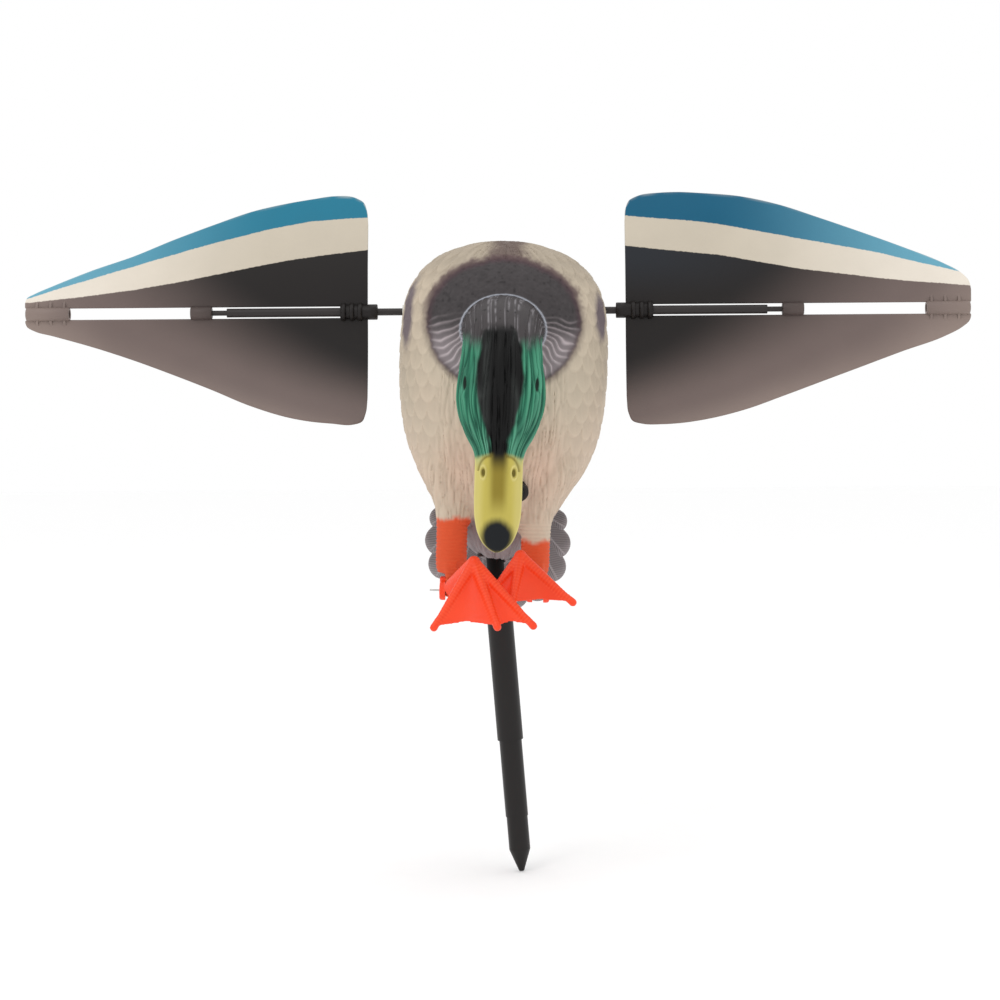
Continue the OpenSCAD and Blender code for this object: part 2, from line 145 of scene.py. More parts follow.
def tube_points(rings):
    """Rings (rows, cols, 3) as one list of points, with the middle of each end ring last."""
    return np.concatenate([rings.reshape(-1, 3), rings[0].mean(0)[None], rings[-1].mean(0)[None]])


class Shape:
    """Points and faces that are gathered into one mesh."""

    def __init__(self):
        self.points = []
        self.faces = []

    def add(self, points, faces):
        start = sum(len(p) for p in self.points)
        self.points.append(np.asarray(points, float))
        self.faces += [[v + start for v in f] for f in faces]
        return self

    def tube(self, rings):
        return self.add(tube_points(rings), tube_faces(rings.shape[0], rings.shape[1]))

    def all_points(self):
        return np.concatenate(self.points)


def new_object(name, points, faces):
    mesh = bpy.data.meshes.new(name)
    mesh.from_pydata(points.tolist(), [], faces)
    mesh.update()
    mesh.shade_smooth()
    obj = bpy.data.objects.new(name, mesh)
    bpy.context.scene.collection.objects.link(obj)
    return obj


def read_vectors(items, key):
    out = np.zeros(len(items) * 3, np.float32)
    items.foreach_get(key, out)
    return out.reshape(-1, 3).astype(float)


def get_points(obj):
    return read_vectors(obj.data.vertices, "co")


def get_normals(obj):
    return read_vectors(obj.data.vertex_normals, "vector")


def set_points(obj, points):
    obj.data.vertices.foreach_set("co", np.asarray(points, np.float32).ravel())
    obj.data.update()


def apply(obj, *modifiers):
    """Adds modifiers, given as (type, settings), and makes their result the object's mesh."""
    for kind, settings in modifiers:
        m = obj.modifiers.new(kind, kind)
        for key, value in settings.items():
            setattr(m, key, value)
    bpy.context.view_layer.update()
    result = bpy.data.meshes.new_from_object(obj.evaluated_get(bpy.context.evaluated_depsgraph_get()))
    obj.modifiers.clear()
    old = obj.data
    obj.data = result
    bpy.data.meshes.remove(old)
    obj.data.shade_smooth()
    return obj


def fuse(name, shape, voxel, smooth):
    """A Shape's solids fused into one skin, whose creases are then softened. Millimetres."""
    obj = new_object(name, shape.all_points(), shape.faces)
    return apply(obj, ("REMESH", {"mode": "VOXEL", "voxel_size": voxel}),
                 ("SMOOTH", {"factor": 0.5, "iterations": smooth}))


def refine(obj, levels=1):
    return apply(obj, ("SUBSURF", {"subdivision_type": "SIMPLE", "levels": levels, "render_levels": levels}))


def carve(obj, shape, operation="DIFFERENCE"):
    """Cuts a Shape's solids out of an object, or keeps only what is inside them."""
    tool = new_object("cutter", shape.all_points(), shape.faces)
    apply(obj, ("BOOLEAN", {"object": tool, "operation": operation, "solver": "EXACT"}))
    bpy.data.objects.remove(tool)
    return obj


def twin(obj, name):
    other = obj.copy()
    other.data = obj.data.copy()
    other.name = name
    bpy.context.scene.collection.objects.link(other)
    return other


def turned(shape, profile, place_at=(0, 0, 0), along=(1, 0, 0), cols=48):
    """A solid turned about a line from (distance, radius) pairs."""
    p = np.array(profile, float)
    d = np.array(along, float) / np.linalg.norm(along)
    u = np.cross(d, [0.0, 0.3, 1.0] if abs(d[2]) < 0.9 else [0.0, 1.0, 0.0])
    u /= np.linalg.norm(u)
    v = np.cross(d, u)
    a = np.linspace(0, 2 * math.pi, cols, endpoint=False)
    circle = np.cos(a)[:, None] * u + np.sin(a)[:, None] * v
    rings = np.array(place_at, float) + p[:, 0, None, None] * d + p[:, 1, None, None] * circle
    return shape.tube(rings)


def bar(shape, a, b, r1, r2, cols=24):
    """A round-ended bar from a to b."""
    a, b = np.array(a, float), np.array(b, float)
    length = np.linalg.norm(b - a)
    t = np.linspace(0, math.pi / 2, 7)
    start = [(-r1 * math.cos(k), r1 * math.sin(k) + 0.02) for k in t]
    end = [(length + r2 * math.sin(k), r2 * math.cos(k) + 0.02) for k in t]
    return turned(shape, start + end, a, b - a, cols)


def block(shape, low, high):
    (x1, y1, z1), (x2, y2, z2) = low, high
    ring = [(x1, y1), (x2, y1), (x2, y2), (x1, y2)]
    return shape.tube(np.array([[(x, y, z) for x, y in ring] for z in (z1, z2)], float))


def colour_layer(obj, name, values):
    """A colour for each vertex, in linear light."""
    layer = obj.data.attributes.new(name, "FLOAT_COLOR", "POINT")
    rgba = np.concatenate([values, np.ones((len(values), 1))], 1)
    layer.data.foreach_set("color", rgba.astype(np.float32).ravel())


def value_layer(obj, name, values):
    layer = obj.data.attributes.new(name, "FLOAT", "POINT")
    layer.data.foreach_set("value", np.asarray(values, np.float32))


# ---- Materials ----

def noise_node(tree, scale, detail=3, stretch=(1, 1, 1)):
    coords = tree.nodes.new("ShaderNodeTexCoord")
    mapping = tree.nodes.new("ShaderNodeMapping")
    mapping.inputs["Scale"].default_value = stretch
    tex = tree.nodes.new("ShaderNodeTexNoise")
    tex.inputs["Scale"].default_value = scale
    tex.inputs["Detail"].default_value = detail
    tree.links.new(coords.outputs["Object"], mapping.inputs["Vector"])
    tree.links.new(mapping.outputs["Vector"], tex.inputs["Vector"])
    return tex


def remap(tree, socket, low, high):
    node = tree.nodes.new("ShaderNodeMapRange")
    node.inputs["To Min"].default_value = low
    node.inputs["To Max"].default_value = high
    tree.links.new(socket, node.inputs["Value"])
    return node.outputs["Result"]


def tint(tree, colour_socket, factor_socket):
    """Colour times a grey factor."""
    node = tree.nodes.new("ShaderNodeVectorMath")
    node.operation = "SCALE"
    tree.links.new(colour_socket, node.inputs[0])
    tree.links.new(factor_socket, node.inputs["Scale"])
    return node.outputs["Vector"]


def surface(name, colour=None, layer=None, colours=None, rough=0.6, rough_vary=0.08, mottle=0.08,
            mottle_scale=90, grain=0.15, grain_scale=900, grain_depth=0.0004, stretch=(1, 1, 1),
            metallic=0.0, specular=0.4):
    """A painted, moulded or metal surface: its colour from a constant, a vertex layer or a function that
    makes nodes, with mottling, uneven gloss and a fine grain."""
    mat = bpy.data.materials.new(name)
    mat.use_nodes = True
    tree = mat.node_tree
    shader = tree.nodes["Principled BSDF"]
    if colours:
        base = colours(tree)
    elif layer:
        source = tree.nodes.new("ShaderNodeAttribute")
        source.attribute_name = layer
        base = source.outputs["Color"]
    else:
        source = tree.nodes.new("ShaderNodeRGB")
        source.outputs[0].default_value = (*colour, 1)
        base = source.outputs[0]
    soft = noise_node(tree, mottle_scale, 4, stretch)
    fine = noise_node(tree, grain_scale, 2, stretch)
    tree.links.new(tint(tree, base, remap(tree, soft.outputs["Fac"], 1 - mottle, 1 + mottle)),
                   shader.inputs["Base Color"])
    tree.links.new(remap(tree, soft.outputs["Fac"], rough - rough_vary, rough + rough_vary),
                   shader.inputs["Roughness"])
    bump = tree.nodes.new("ShaderNodeBump")
    bump.inputs["Strength"].default_value = grain
    bump.inputs["Distance"].default_value = grain_depth
    tree.links.new(fine.outputs["Fac"], bump.inputs["Height"])
    tree.links.new(bump.outputs["Normal"], shader.inputs["Normal"])
    shader.inputs["Metallic"].default_value = metallic
    shader.inputs["Specular IOR Level"].default_value = specular
    return mat


def dress(obj, mat):
    obj.data.materials.clear()
    obj.data.materials.append(mat)
    return obj


CREAM = srgb(197, 184, 164)
WARM = srgb(212, 187, 167)
PINK = srgb(212, 174, 154)
RAW = srgb(120, 112, 100)
BIB = srgb(64, 60, 61)
BIB_EDGE = srgb(72, 56, 60)
BIB_PALE = srgb(186, 174, 177)
BROWN = srgb(96, 76, 76)
# A whitish-blue colour painted along the top of the neck's bead: a painted highlight.
SEAM_HIGHLIGHT = srgb(184, 188, 198)
SHOULDER = srgb(104, 93, 102)
BACK = srgb(74, 66, 66)
RUMP = srgb(140, 131, 132)
TAIL_DARK = srgb(84, 77, 79)
TAIL_PALE = srgb(170, 163, 164)
ORANGE = srgb(242, 62, 20)
# A lighter orange for the crests of the toe ribs as painted highlight, also used for a soft tone that varies, and
# a deeper one for their troughs as painted shade.
ORANGE_TONE_AND_HIGHLIGHT = srgb(255, 112, 66)
ORANGE_RIB_SHADE = srgb(214, 48, 22)
ORANGE_DULL = srgb(214, 84, 46)
GREEN = srgb(64, 150, 116)
# A lighter green, also painted on the ridges between the head's grooves as painted highlight; the deep green after
# it is painted shade in those grooves.
GREEN_PALE_AND_HIGHLIGHT = srgb(108, 164, 140)
GREEN_GROOVE_SHADE = srgb(22, 74, 58)
NAPE_PALE = srgb(168, 164, 168)
CROWN = srgb(9, 9, 9)
# Thin lighter lines on the black crown: painted highlights.
CROWN_HIGHLIGHT = srgb(70, 74, 72)
BILL = srgb(186, 172, 84)
# A lighter yellow, also the painted highlight round the nostrils.
BILL_PALE_AND_HIGHLIGHT = srgb(212, 200, 130)
BILL_DARK = srgb(120, 102, 24)
NAIL = srgb(22, 25, 28)
# The wings' blue is one paint: the left wing gets a lighter copy of it as painted light, the right wing a darker
# copy as painted shade.
BLUE_LEFT_LIT = srgb(22, 112, 138)
BLUE_RIGHT_SHADED = srgb(2, 86, 116)
BLUE_TIP = srgb(104, 165, 186)
BAND = srgb(194, 184, 167)
# The band's lighter colour towards the tip, also used for the painted highlight along the wings' top edges.
BAND_TIP_AND_RIM_HIGHLIGHT = srgb(228, 219, 206)
CHARCOAL = srgb(27, 23, 22)
# A cooler, lighter charcoal painted only on the right wing: painted light.
CHARCOAL_COOL_LIGHT = srgb(32, 35, 41)
# Lighter browns that the dark wing paint turns to towards the lower edge and the tip: painted light.
UMBER_PAINTED_LIGHT = srgb(108, 94, 90)
UMBER_PALE_PAINTED_LIGHT = srgb(144, 128, 120)

# ---- Camera, floor and light ----

CAMERA_DISTANCE = 1.5
CAMERA_RISE = 3.0           # degrees above the level
CAMERA_YAW = 0.8            # degrees towards the right wing
CAMERA_ROLL = 0.4           # degrees, the right side up
VIEW_WIDTH = 0.733          # metres across the picture at the axle's distance


def make_camera():
    data = bpy.data.cameras.new("camera")
    camera = bpy.data.objects.new("camera", data)
    bpy.context.scene.collection.objects.link(camera)
    target = Vector(AXLE) + Vector((-0.0025, 0, -0.138))
    rise, yaw = math.radians(CAMERA_RISE), math.radians(CAMERA_YAW)
    away = Vector((math.sin(yaw) * math.cos(rise), -math.cos(yaw) * math.cos(rise), math.sin(rise)))
    camera.location = target + away * CAMERA_DISTANCE
    turn = (-away).to_track_quat("-Z", "Y") @ Quaternion((0, 0, 1), math.radians(-CAMERA_ROLL))
    camera.rotation_euler = turn.to_euler()
    data.lens = data.sensor_width * CAMERA_DISTANCE / VIEW_WIDTH
    bpy.context.scene.camera = camera


def make_floor():
    reach = 6.0
    floor_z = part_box("ground_spike")[0].z - 0.0005
    corners = np.array([[-reach, -reach, floor_z], [reach, -reach, floor_z],
                        [reach, reach, floor_z], [-reach, reach, floor_z]])
    floor = new_object("floor", corners, [[0, 1, 2, 3]])
    dress(floor, surface("floor_paper", colour=(0.99, 0.99, 0.99), rough=0.9, rough_vary=0.02, mottle=0.01,
                         grain=0.02, specular=0.1))


def make_lights():
    world = bpy.data.worlds.new("studio")
    world.use_nodes = True
    world.node_tree.nodes["Background"].inputs["Color"].default_value = (1, 1, 1, 1)
    world.node_tree.nodes["Background"].inputs["Strength"].default_value = 1.0
    bpy.context.scene.world = world
    middle = Vector(AXLE)
    for name, offset, size, power in (
        ("key", (-0.9, -1.4, 1.6), 0.7, 7.0),
        ("top", (0.2, 0.1, 1.6), 1.0, 3.0),
    ):
        data = bpy.data.lights.new(name, "AREA")
        data.energy = power
        data.size = size
        light = bpy.data.objects.new(name, data)
        light.location = middle + Vector(offset)
        light.rotation_euler = Vector(offset).to_track_quat("Z", "Y").to_euler()
        bpy.context.scene.collection.objects.link(light)
    bpy.context.scene.view_settings.view_transform = "Standard"


make_camera()
make_floor()
make_lights()

# ---- Wings ----

LEFT_WING = [
    (0, 65, 64), (1.2, 75, 74), (4, 81.5, 80), (11, 85.3, 82), (26, 86.3, 81), (41, 84.2, 79.5),
    (55, 81.9, 77), (85, 75.2, 68), (114, 65, 56), (143, 54, 44.7), (172, 42, 34), (201, 32.2, 24.5),
    (231, 20.5, 16), (244, 15, 12.5), (249.5, 12, 9.5), (251, 9, 7),
]
RIGHT_WING = [
    (0, 66, 64), (1.2, 76, 75), (4, 81.5, 80.5), (11, 85, 82.6), (26, 87, 83), (41, 87.4, 82), (55, 86.6, 80),
    (85, 83.8, 73), (114, 77, 63), (143, 66.8, 52.5), (172, 56.2, 42), (201, 45.2, 31.4), (231, 32.8, 21),
    (244, 25.5, 14.5), (249.5, 19.5, 10), (251, 14, 7),
]
# Lower edges of the blue and the white band: (distance from the root, height above the axle)
LEFT_BLUE = [(0, 69.5), (17, 69), (43, 67), (72, 61.5), (114, 51.2), (133, 46), (144, 42.6), (172, 34.3),
             (201, 26.2), (213, 22.8), (241, 13.8), (260, 8)]
LEFT_WHITE = [(0, 45.3), (28, 42.4), (57, 38.4), (94, 31.5), (144, 21.9), (172, 17.2), (201, 13.8),
              (247, 8.5)]
RIGHT_BLUE = [(0, 69.5), (48, 65.5), (68, 62.8), (127, 51.7), (185, 40.5), (236, 27.9), (260, 22)]
RIGHT_WHITE = [(0, 47), (48, 42), (68, 39.9), (127, 29.4), (185, 21.9), (236, 17.3), (260, 15)]
SLOT = 4.1                      # half the slot's height
HALF_WALL = 1.0
SCOOP = 22.0                    # how far the blade's edge stands off the axle's plane
BLADE_REACH = 87                # the height at which it does
COLLAR = 7                      # how far the collar reaches inwards from the root
SLOT_START, BRIDGE, BARREL = 20, (114, 129.5), (218.5, 249)
GUSSETS = (222, 232, 242)


def bow(z):
    """How far the scooped blade stands off the axle's plane at height z: back above it, forward below."""
    return SCOOP * (z / BLADE_REACH) * np.abs(z / BLADE_REACH)


def blade(shape, outline, way):
    """Half of a wing: a rounded sheet above the slot (way 1) or below it (way -1)."""
    rows, cols, rim = 220, 44, 6
    table = through(outline, rows)
    u, reach = table[:, 0], table[:, 1] if way > 0 else table[:, 2]
    k = np.linspace(0, 1, cols)
    z = SLOT + HALF_WALL + (reach - SLOT - 2 * HALF_WALL)[:, None] * k[None, :]
    slope = 2 * SCOOP * z / BLADE_REACH**2
    ny, nz = 1 / np.sqrt(1 + slope**2), -slope / np.sqrt(1 + slope**2)
    thick = HALF_WALL * np.ones(rows)
    thick[:3] = HALF_WALL * np.array([0.35, 0.7, 0.93])
    thick[-3:] = HALF_WALL * np.array([0.93, 0.7, 0.35])
    thick = thick[:, None]
    y = bow(z)
    back = np.stack([np.broadcast_to(u[:, None], z.shape), y + thick * ny, z + thick * nz], -1)
    front = np.stack([np.broadcast_to(u[:, None], z.shape), y - thick * ny, z - thick * nz], -1)
    arcs = []
    for end, first in ((-1, back[:, -1]), (0, front[:, 0])):
        middle = np.stack([u, y[:, end], z[:, end]], -1)
        out = np.stack([np.zeros(rows), slope[:, end] * ny[:, end], ny[:, end]], -1) * (1 if end else -1)
        side = (first - middle) / thick
        for a in np.linspace(0, math.pi, rim)[1:-1]:
            arcs.append(middle + thick * (math.cos(a) * side + math.sin(a) * out))
    top = np.stack(arcs[: rim - 2], 1)
    low = np.stack(arcs[rim - 2 :], 1)
    rings = np.concatenate([back, top, front[:, ::-1], low], 1)
    if way < 0:
        rings = rings * np.array([1, -1, -1])
    shape.tube(rings)


def bevelled(u1, u2, r, chamfer=0.5):
    return [(u1, 0.5), (u1, r - chamfer), (u1 + chamfer, r), (u2 - chamfer, r), (u2, r - chamfer), (u2, 0.5)]


def gusset(shape, u, way):
    """A small rib between the tip barrel and the blade."""
    y, z = np.array([(-2.3, 3), (2.3, 3), (2.3, 6.5), (1.0, 9.5), (-0.6, 9.5), (-2.3, 6.5)]).T
    rings = np.stack([np.stack([np.full(6, x), y, z * way], -1) for x in (u - 0.9, u + 0.9)])
    shape.tube(rings if way > 0 else rings[:, ::-1])


def wing_fittings(shape):
    """Collar, ribbed hub, bridge and tip barrel."""
    turned(shape, [(-COLLAR, 2.7), (-COLLAR, 5.3), (0.4 - COLLAR, 5.65), (-0.4, 5.65), (0, 5.5),
                   (SLOT_START - 0.5, 5.4), (SLOT_START, 5.0), (SLOT_START, 3.35), (12, 3.35), (12, 2.7)])
    for u in (4, 10, 16):
        turned(shape, [(u, 5.2), (u, 6.1), (u + 0.6, 6.7), (u + 2.6, 6.7), (u + 3.2, 6.1), (u + 3.2, 5.2)])
    turned(shape, [(BRIDGE[0], 1.95), (BRIDGE[0], 4.2), (BRIDGE[0] + 0.8, 4.9), (BRIDGE[1] - 0.8, 4.9),
                   (BRIDGE[1], 4.2), (BRIDGE[1], 0.5), (BRIDGE[0] + 10, 0.5), (BRIDGE[0] + 10, 1.95)])
    turned(shape, [(BARREL[0] + 14, 0.5), (BARREL[0] + 14, 3.0), (BARREL[0], 3.0), (BARREL[0], 4.8),
                   (BARREL[0] + 0.5, 5.2), (BARREL[1], 5.2), (BARREL[1] + 1, 4.4), (BARREL[1] + 1.2, 0.5)])
    for u in GUSSETS:
        gusset(shape, u, 1)
        gusset(shape, u, -1)


def make_wing(side, outline, blue, white):
    name = "left" if side < 0 else "right"
    low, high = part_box(name + "_wing")
    root = abs((high.x if side < 0 else low.x) - AXLE[0]) / MM + COLLAR
    shape = Shape()
    blade(shape, outline, 1)
    blade(shape, outline, -1)
    wing_fittings(shape)
    wing = new_object(name + "_wing_moulding", shape.all_points(), shape.faces)
    u, y, z = shape.all_points().T
    blue_line, white_line = (np.interp(u, *np.array(line).T) for line in (blue, white))
    wobble = 0.8 * (noise2(u / 26, z * 0 + 3, 5) - 0.5)
    reach = np.interp(u, [row[0] for row in outline], [row[1] for row in outline])
    value_layer(wing, "blue_edge", z - blue_line + wobble)
    value_layer(wing, "white_edge", z - white_line + wobble)
    # Painted light: the dark paint is lightened towards the lower edge of each blade and, less, towards its tip.
    painted_light_reach = u - 1.2 * z + 0.015 * z**2 * (z < 0) + 24 * (noise2(u / 60, z / 60, 6) - 0.5)
    value_layer(wing, "painted_light", step(60, 190, painted_light_reach))
    value_layer(wing, "painted_light_strong", step(185, 290, painted_light_reach))
    value_layer(wing, "tip", step(60, 250, u))
    # Painted light on the right wing only: its upper blade near the root gets a cooler, lighter charcoal.
    value_layer(wing, "right_wing_cool_light", step(4, 40, z) * step(150, 0, u) * (side > 0))
    # A painted highlight: a whitish line along the top edge of each blade.
    value_layer(wing, "rim", step(reach - 0.6, reach + 0.6, z))
    set_points(wing, place_level(np.stack([side * (root + u), y, z], -1)))
    if side < 0:
        wing.data.flip_normals()
    wing.data.set_sharp_from_angle(angle=math.radians(50))
    dress(wing, wing_paint(name))
    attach(wing, name + "_wing")
    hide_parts(name + "_wing")


def layer_value(tree, layer):
    attr = tree.nodes.new("ShaderNodeAttribute")
    attr.attribute_name = layer
    return attr.outputs["Fac"]


def masked_edge(tree, layer, width):
    """1 above a painted line and 0 below it, with a slightly uneven edge some millimetres wide."""
    rough = noise_node(tree, 500, 2)
    add = tree.nodes.new("ShaderNodeMath")
    add.operation = "MULTIPLY_ADD"
    add.inputs[1].default_value = 1.0
    tree.links.new(rough.outputs["Fac"], add.inputs[0])
    tree.links.new(layer_value(tree, layer), add.inputs[2])
    node = tree.nodes.new("ShaderNodeMapRange")
    node.interpolation_type = "SMOOTHSTEP"
    node.inputs["From Min"].default_value = 0.5 - width
    node.inputs["From Max"].default_value = 0.5 + width
    tree.links.new(add.outputs[0], node.inputs["Value"])
    return node.outputs["Result"]


def blend_colours(tree, factor, low, high):
    """low where factor is 0 and high where it is 1; each is a colour or a socket."""
    node = tree.nodes.new("ShaderNodeMix")
    node.data_type = "RGBA"
    tree.links.new(factor, node.inputs["Factor"])
    for key, value in (("A", low), ("B", high)):
        socket = [s for s in node.inputs if s.name == key and s.type == "RGBA"][0]
        if isinstance(value, bpy.types.NodeSocket):
            tree.links.new(value, socket)
        else:
            socket.default_value = (*value, 1)
    return [s for s in node.outputs if s.type == "RGBA"][0]


def wing_colours(tree, root_blue):
    # cool painted light on the right wing
    dark = blend_colours(tree, layer_value(tree, "right_wing_cool_light"), CHARCOAL, CHARCOAL_COOL_LIGHT)
    # the painted light on the lower blade and towards the tip
    dark = blend_colours(tree, layer_value(tree, "painted_light"), dark, UMBER_PAINTED_LIGHT)
    dark = blend_colours(tree, layer_value(tree, "painted_light_strong"), dark, UMBER_PALE_PAINTED_LIGHT)
    band = blend_colours(tree, layer_value(tree, "tip"), BAND, BAND_TIP_AND_RIM_HIGHLIGHT)
    banded = blend_colours(tree, masked_edge(tree, "white_edge", 0.35), dark, band)
    blue = blend_colours(tree, layer_value(tree, "tip"), root_blue, BLUE_TIP)
    banded = blend_colours(tree, masked_edge(tree, "blue_edge", 0.35), banded, blue)
    # the whitish painted highlight along the top edge
    return blend_colours(tree, remap(tree, layer_value(tree, "rim"), 0, 0.45), banded, BAND_TIP_AND_RIM_HIGHLIGHT)


def wing_paint(name):
    # Painted light and shade: a lighter blue on the left wing, a darker one on the right.
    root_blue = BLUE_LEFT_LIT if name == "left" else BLUE_RIGHT_SHADED
    return surface(name + "_wing_paint", colours=lambda tree: wing_colours(tree, root_blue), rough=0.48,
                   mottle=0.07, mottle_scale=35, grain=0.12, grain_scale=1400, grain_depth=0.0003,
                   specular=0.25)


make_wing(-1, LEFT_WING, LEFT_BLUE, LEFT_WHITE)
make_wing(1, RIGHT_WING, RIGHT_BLUE, RIGHT_WHITE)

# ---- Body and its back hatch ----

BODY = [
    (-188, 1, 30, 46), (-187, 5, 16, 57), (-184, 10.5, 2, 64), (-178, 19, -13, 72), (-166, 30, -30, 79),
    (-150, 40, -45, 84), (-132, 51, -57, 87), (-115, 62, -66, 88.5), (-95, 70, -74, 88), (-70, 74.5, -79, 85),
    (-40, 76, -79, 79), (-12, 75, -74, 70), (10, 71.5, -66, 60), (26, 62.8, -57, 49), (37, 51, -46, 36),
    (44, 37.5, -35, 23), (47.8, 24, -25, 12), (49.6, 12, -15, 2), (50.2, 1, -7, -5),
]
# The legs downwards: (height, across, front to back, radius)
LEFT_LEG = [(-86, 20, -18, 27), (-98, 32.5, -23, 28), (-112, 33, -29, 26), (-126, 32.2, -34, 20),
            (-138, 31.8, -37, 14), (-150, 31.5, -38, 11.6), (-166, 31.5, -38, 11), (-185, 31.5, -38, 10.7),
            (-188.5, 31.5, -38, 10), (-189, 31.5, -38, 7.5)]
RIGHT_LEG = [(-86, 20, -18, 27), (-98, 34, -23, 28.5), (-112, 34.5, -29, 26.5), (-126, 32, -34, 20),
             (-138, 29.6, -37, 14.2), (-150, 28.6, -38, 11.4), (-166, 28.4, -38, 10.4),
             (-185, 28.2, -38, 10.1), (-188.5, 28.2, -38, 9.5), (-189, 28.2, -38, 7)]
LEFT_SHIN_X, RIGHT_SHIN_X, SHIN_Y = -31.5, 28.3, -38
SHIN_PAINT_R = 13.3              # how far from a shin's axis its paint reaches
BODY_MIDDLE, BODY_HALF_HEIGHT = -69, 119
BODY_GIRTH_R = 72                # a middling radius, to turn angles round the body into millimetres
SKIN_X = 2.0                     # how far right of the axle's middle the moulded skin sits
LEG_X = 31
ANKLE = (-46, -201)              # front to back, height
TONGUE = 3.9                     # half the width of the shin's tongue in the foot's slot
WALL = 3
NECK = (0, -15.5, 28.6, 23.3)    # middle across and up, and half sizes, of the neck's seam on the breast
NECK_BEAD, NECK_BEAD_WIDTH = 1.045, 0.03         # the raised bead round that seam, in its radii
HATCH = (76, 78, -24)            # width, height, top
HATCH_Y = (60.0, 120.0)          # reach of the tool that cuts it out
HINGE = (76, -19.6)              # front to back, height
HINGE_R = 3.0
LATCH_Z = -88
SWITCH = np.array([14.5, -57.5, -127])
SWITCH_TILT = math.radians(28)
SWITCH_WAY = np.array([0, -math.cos(SWITCH_TILT), -math.sin(SWITCH_TILT)])
AXLE_BORE, SWITCH_BORE, PEG_BORE = 5.05, 7.0, 6.85
SOCKET_MOUTH_Z = -182
SCREW_X = 10.2                   # how far each socket screw is from the pole's line
ROLL = np.array([DUCK_X[0], 0, DUCK_Z[0]])       # the level axle's direction in the duck's frame


def around(count, power=0.94):
    t = np.linspace(0, 2 * math.pi, count, endpoint=False)
    c, s = np.cos(t), np.sin(t)
    return np.sign(c) * np.abs(c) ** power, np.sign(s) * np.abs(s) ** power


def body_rings(rows, cols, inset=0.0):
    table = through(BODY, rows)
    z, a = table[:, 0], np.maximum(table[:, 1] - inset, 0.5)
    b = np.maximum((table[:, 3] - table[:, 2]) / 2 - inset, 0.5)
    middle = (table[:, 2] + table[:, 3]) / 2
    z = BODY_MIDDLE + (z - BODY_MIDDLE) * (1 - inset / BODY_HALF_HEIGHT)
    c, s = around(cols)
    z = np.broadcast_to(z[:, None], (rows, cols))
    return np.stack([SKIN_X + a[:, None] * c, middle[:, None] + b[:, None] * s, z], -1)


def leg_rings(side, rows, cols):
    table = through(LEFT_LEG if side < 0 else RIGHT_LEG, rows)[::-1]
    c, s = around(cols, 1)
    return np.stack([side * table[:, 1:2] + table[:, 3:4] * c, table[:, 2:3] + table[:, 3:4] * s,
                     np.broadcast_to(table[:, 0:1], (rows, cols))], -1)


def shingles(u, v, width, height, seed):
    """Overlapping feathers whose round tips point down: how high each point stands (0 to 1, highest at a
    tip's edge), how far across its feather it is (-1 to 1), and how far up from the tip."""
    best = np.full(u.shape, -1e9)
    across = np.zeros_like(u)
    up = np.ones_like(u)
    for lift in (0, 1, 2):
        row = np.floor(v / height) + 1 - lift
        whole = row.astype(np.int64)
        offset = 0.5 * np.mod(row, 2) + 0.22 * (lattice(whole, 0, 0, seed) - 0.5)
        column = np.floor(u / width - offset)
        x = 2 * (u / width - offset - column) - 1
        jitter = 0.3 * (lattice(whole, column.astype(np.int64), 1, seed) - 0.5)
        edge_v = (row + jitter + 0.8 * (1 - np.sqrt(1 - 0.96 * x * x))) * height
        inside = (v >= edge_v) & (row > best)
        best = np.where(inside, row, best)
        across = np.where(inside, x, across)
        up = np.where(inside, (v - edge_v) / height, up)
    return np.clip(1 - up, 0, 1) ** 1.4, across, np.clip(up, 0, 2)


def body_section(z):
    """Half width, middle and half depth of the body at height z."""
    heights = [b[0] for b in BODY]
    a = np.interp(z, heights, [b[1] for b in BODY])
    front = np.interp(z, heights, [b[2] for b in BODY])
    back = np.interp(z, heights, [b[3] for b in BODY])
    return a, (front + back) / 2, (back - front) / 2


def body_places(p):
    """Where points p are on the duck's body, for its paint and relief."""
    x, y, z = p.T
    x = x - SKIN_X
    a, middle, b = body_section(z)
    angle = np.arctan2(x, middle - y)
    out = (np.sqrt((x / a) ** 2 + ((y - middle) / b) ** 2) - 1) * np.minimum(a, b)
    rough = 2.4 * (noise(p / 7, 3) - 0.5) + 1.6 * (noise(p / 2.2, 4) - 0.5)
    bib_r = np.sqrt((x / 55) ** 2 + ((z + 8) / np.where(z < -8, 51.0, 43.0)) ** 2)
    neck_r = np.sqrt(((x - NECK[0]) / NECK[2]) ** 2 + ((z - NECK[1]) / NECK[3]) ** 2)
    polar = np.arctan2(np.abs(x), -(z + 10))
    curl = polar + 0.25 * (bib_r - 0.8)
    rays = 0.5 + 0.5 * np.sin(56 * curl + 7 * noise(np.stack([polar * 5, bib_r * 6, np.sign(x)], -1), 44))
    shin = np.hypot(x + SKIN_X - np.where(x < 0, LEFT_SHIN_X, RIGHT_SHIN_X), y - SHIN_Y)
    on_leg = (z < -80) & (y < -19) & (np.abs(np.abs(x) - LEG_X) < 30)
    return {
        "angle": angle, "front": step(1.9, 1.3, np.abs(angle)), "rough": rough, "neck_r": neck_r,
        "outside": np.maximum(step(-2.2, -1.2, out), on_leg),
        "x": x, "shin": shin,
        "bib": step(1.02, 0.97, bib_r + rough * 0.012) * (y < 5), "bib_r": bib_r,
        "rays": rays**3 * step(-2, -14, z + 4 * (noise(p / 4, 47) - 0.5)),
        "leg": step(-148, -154, z) * (shin < 13.5),
    }


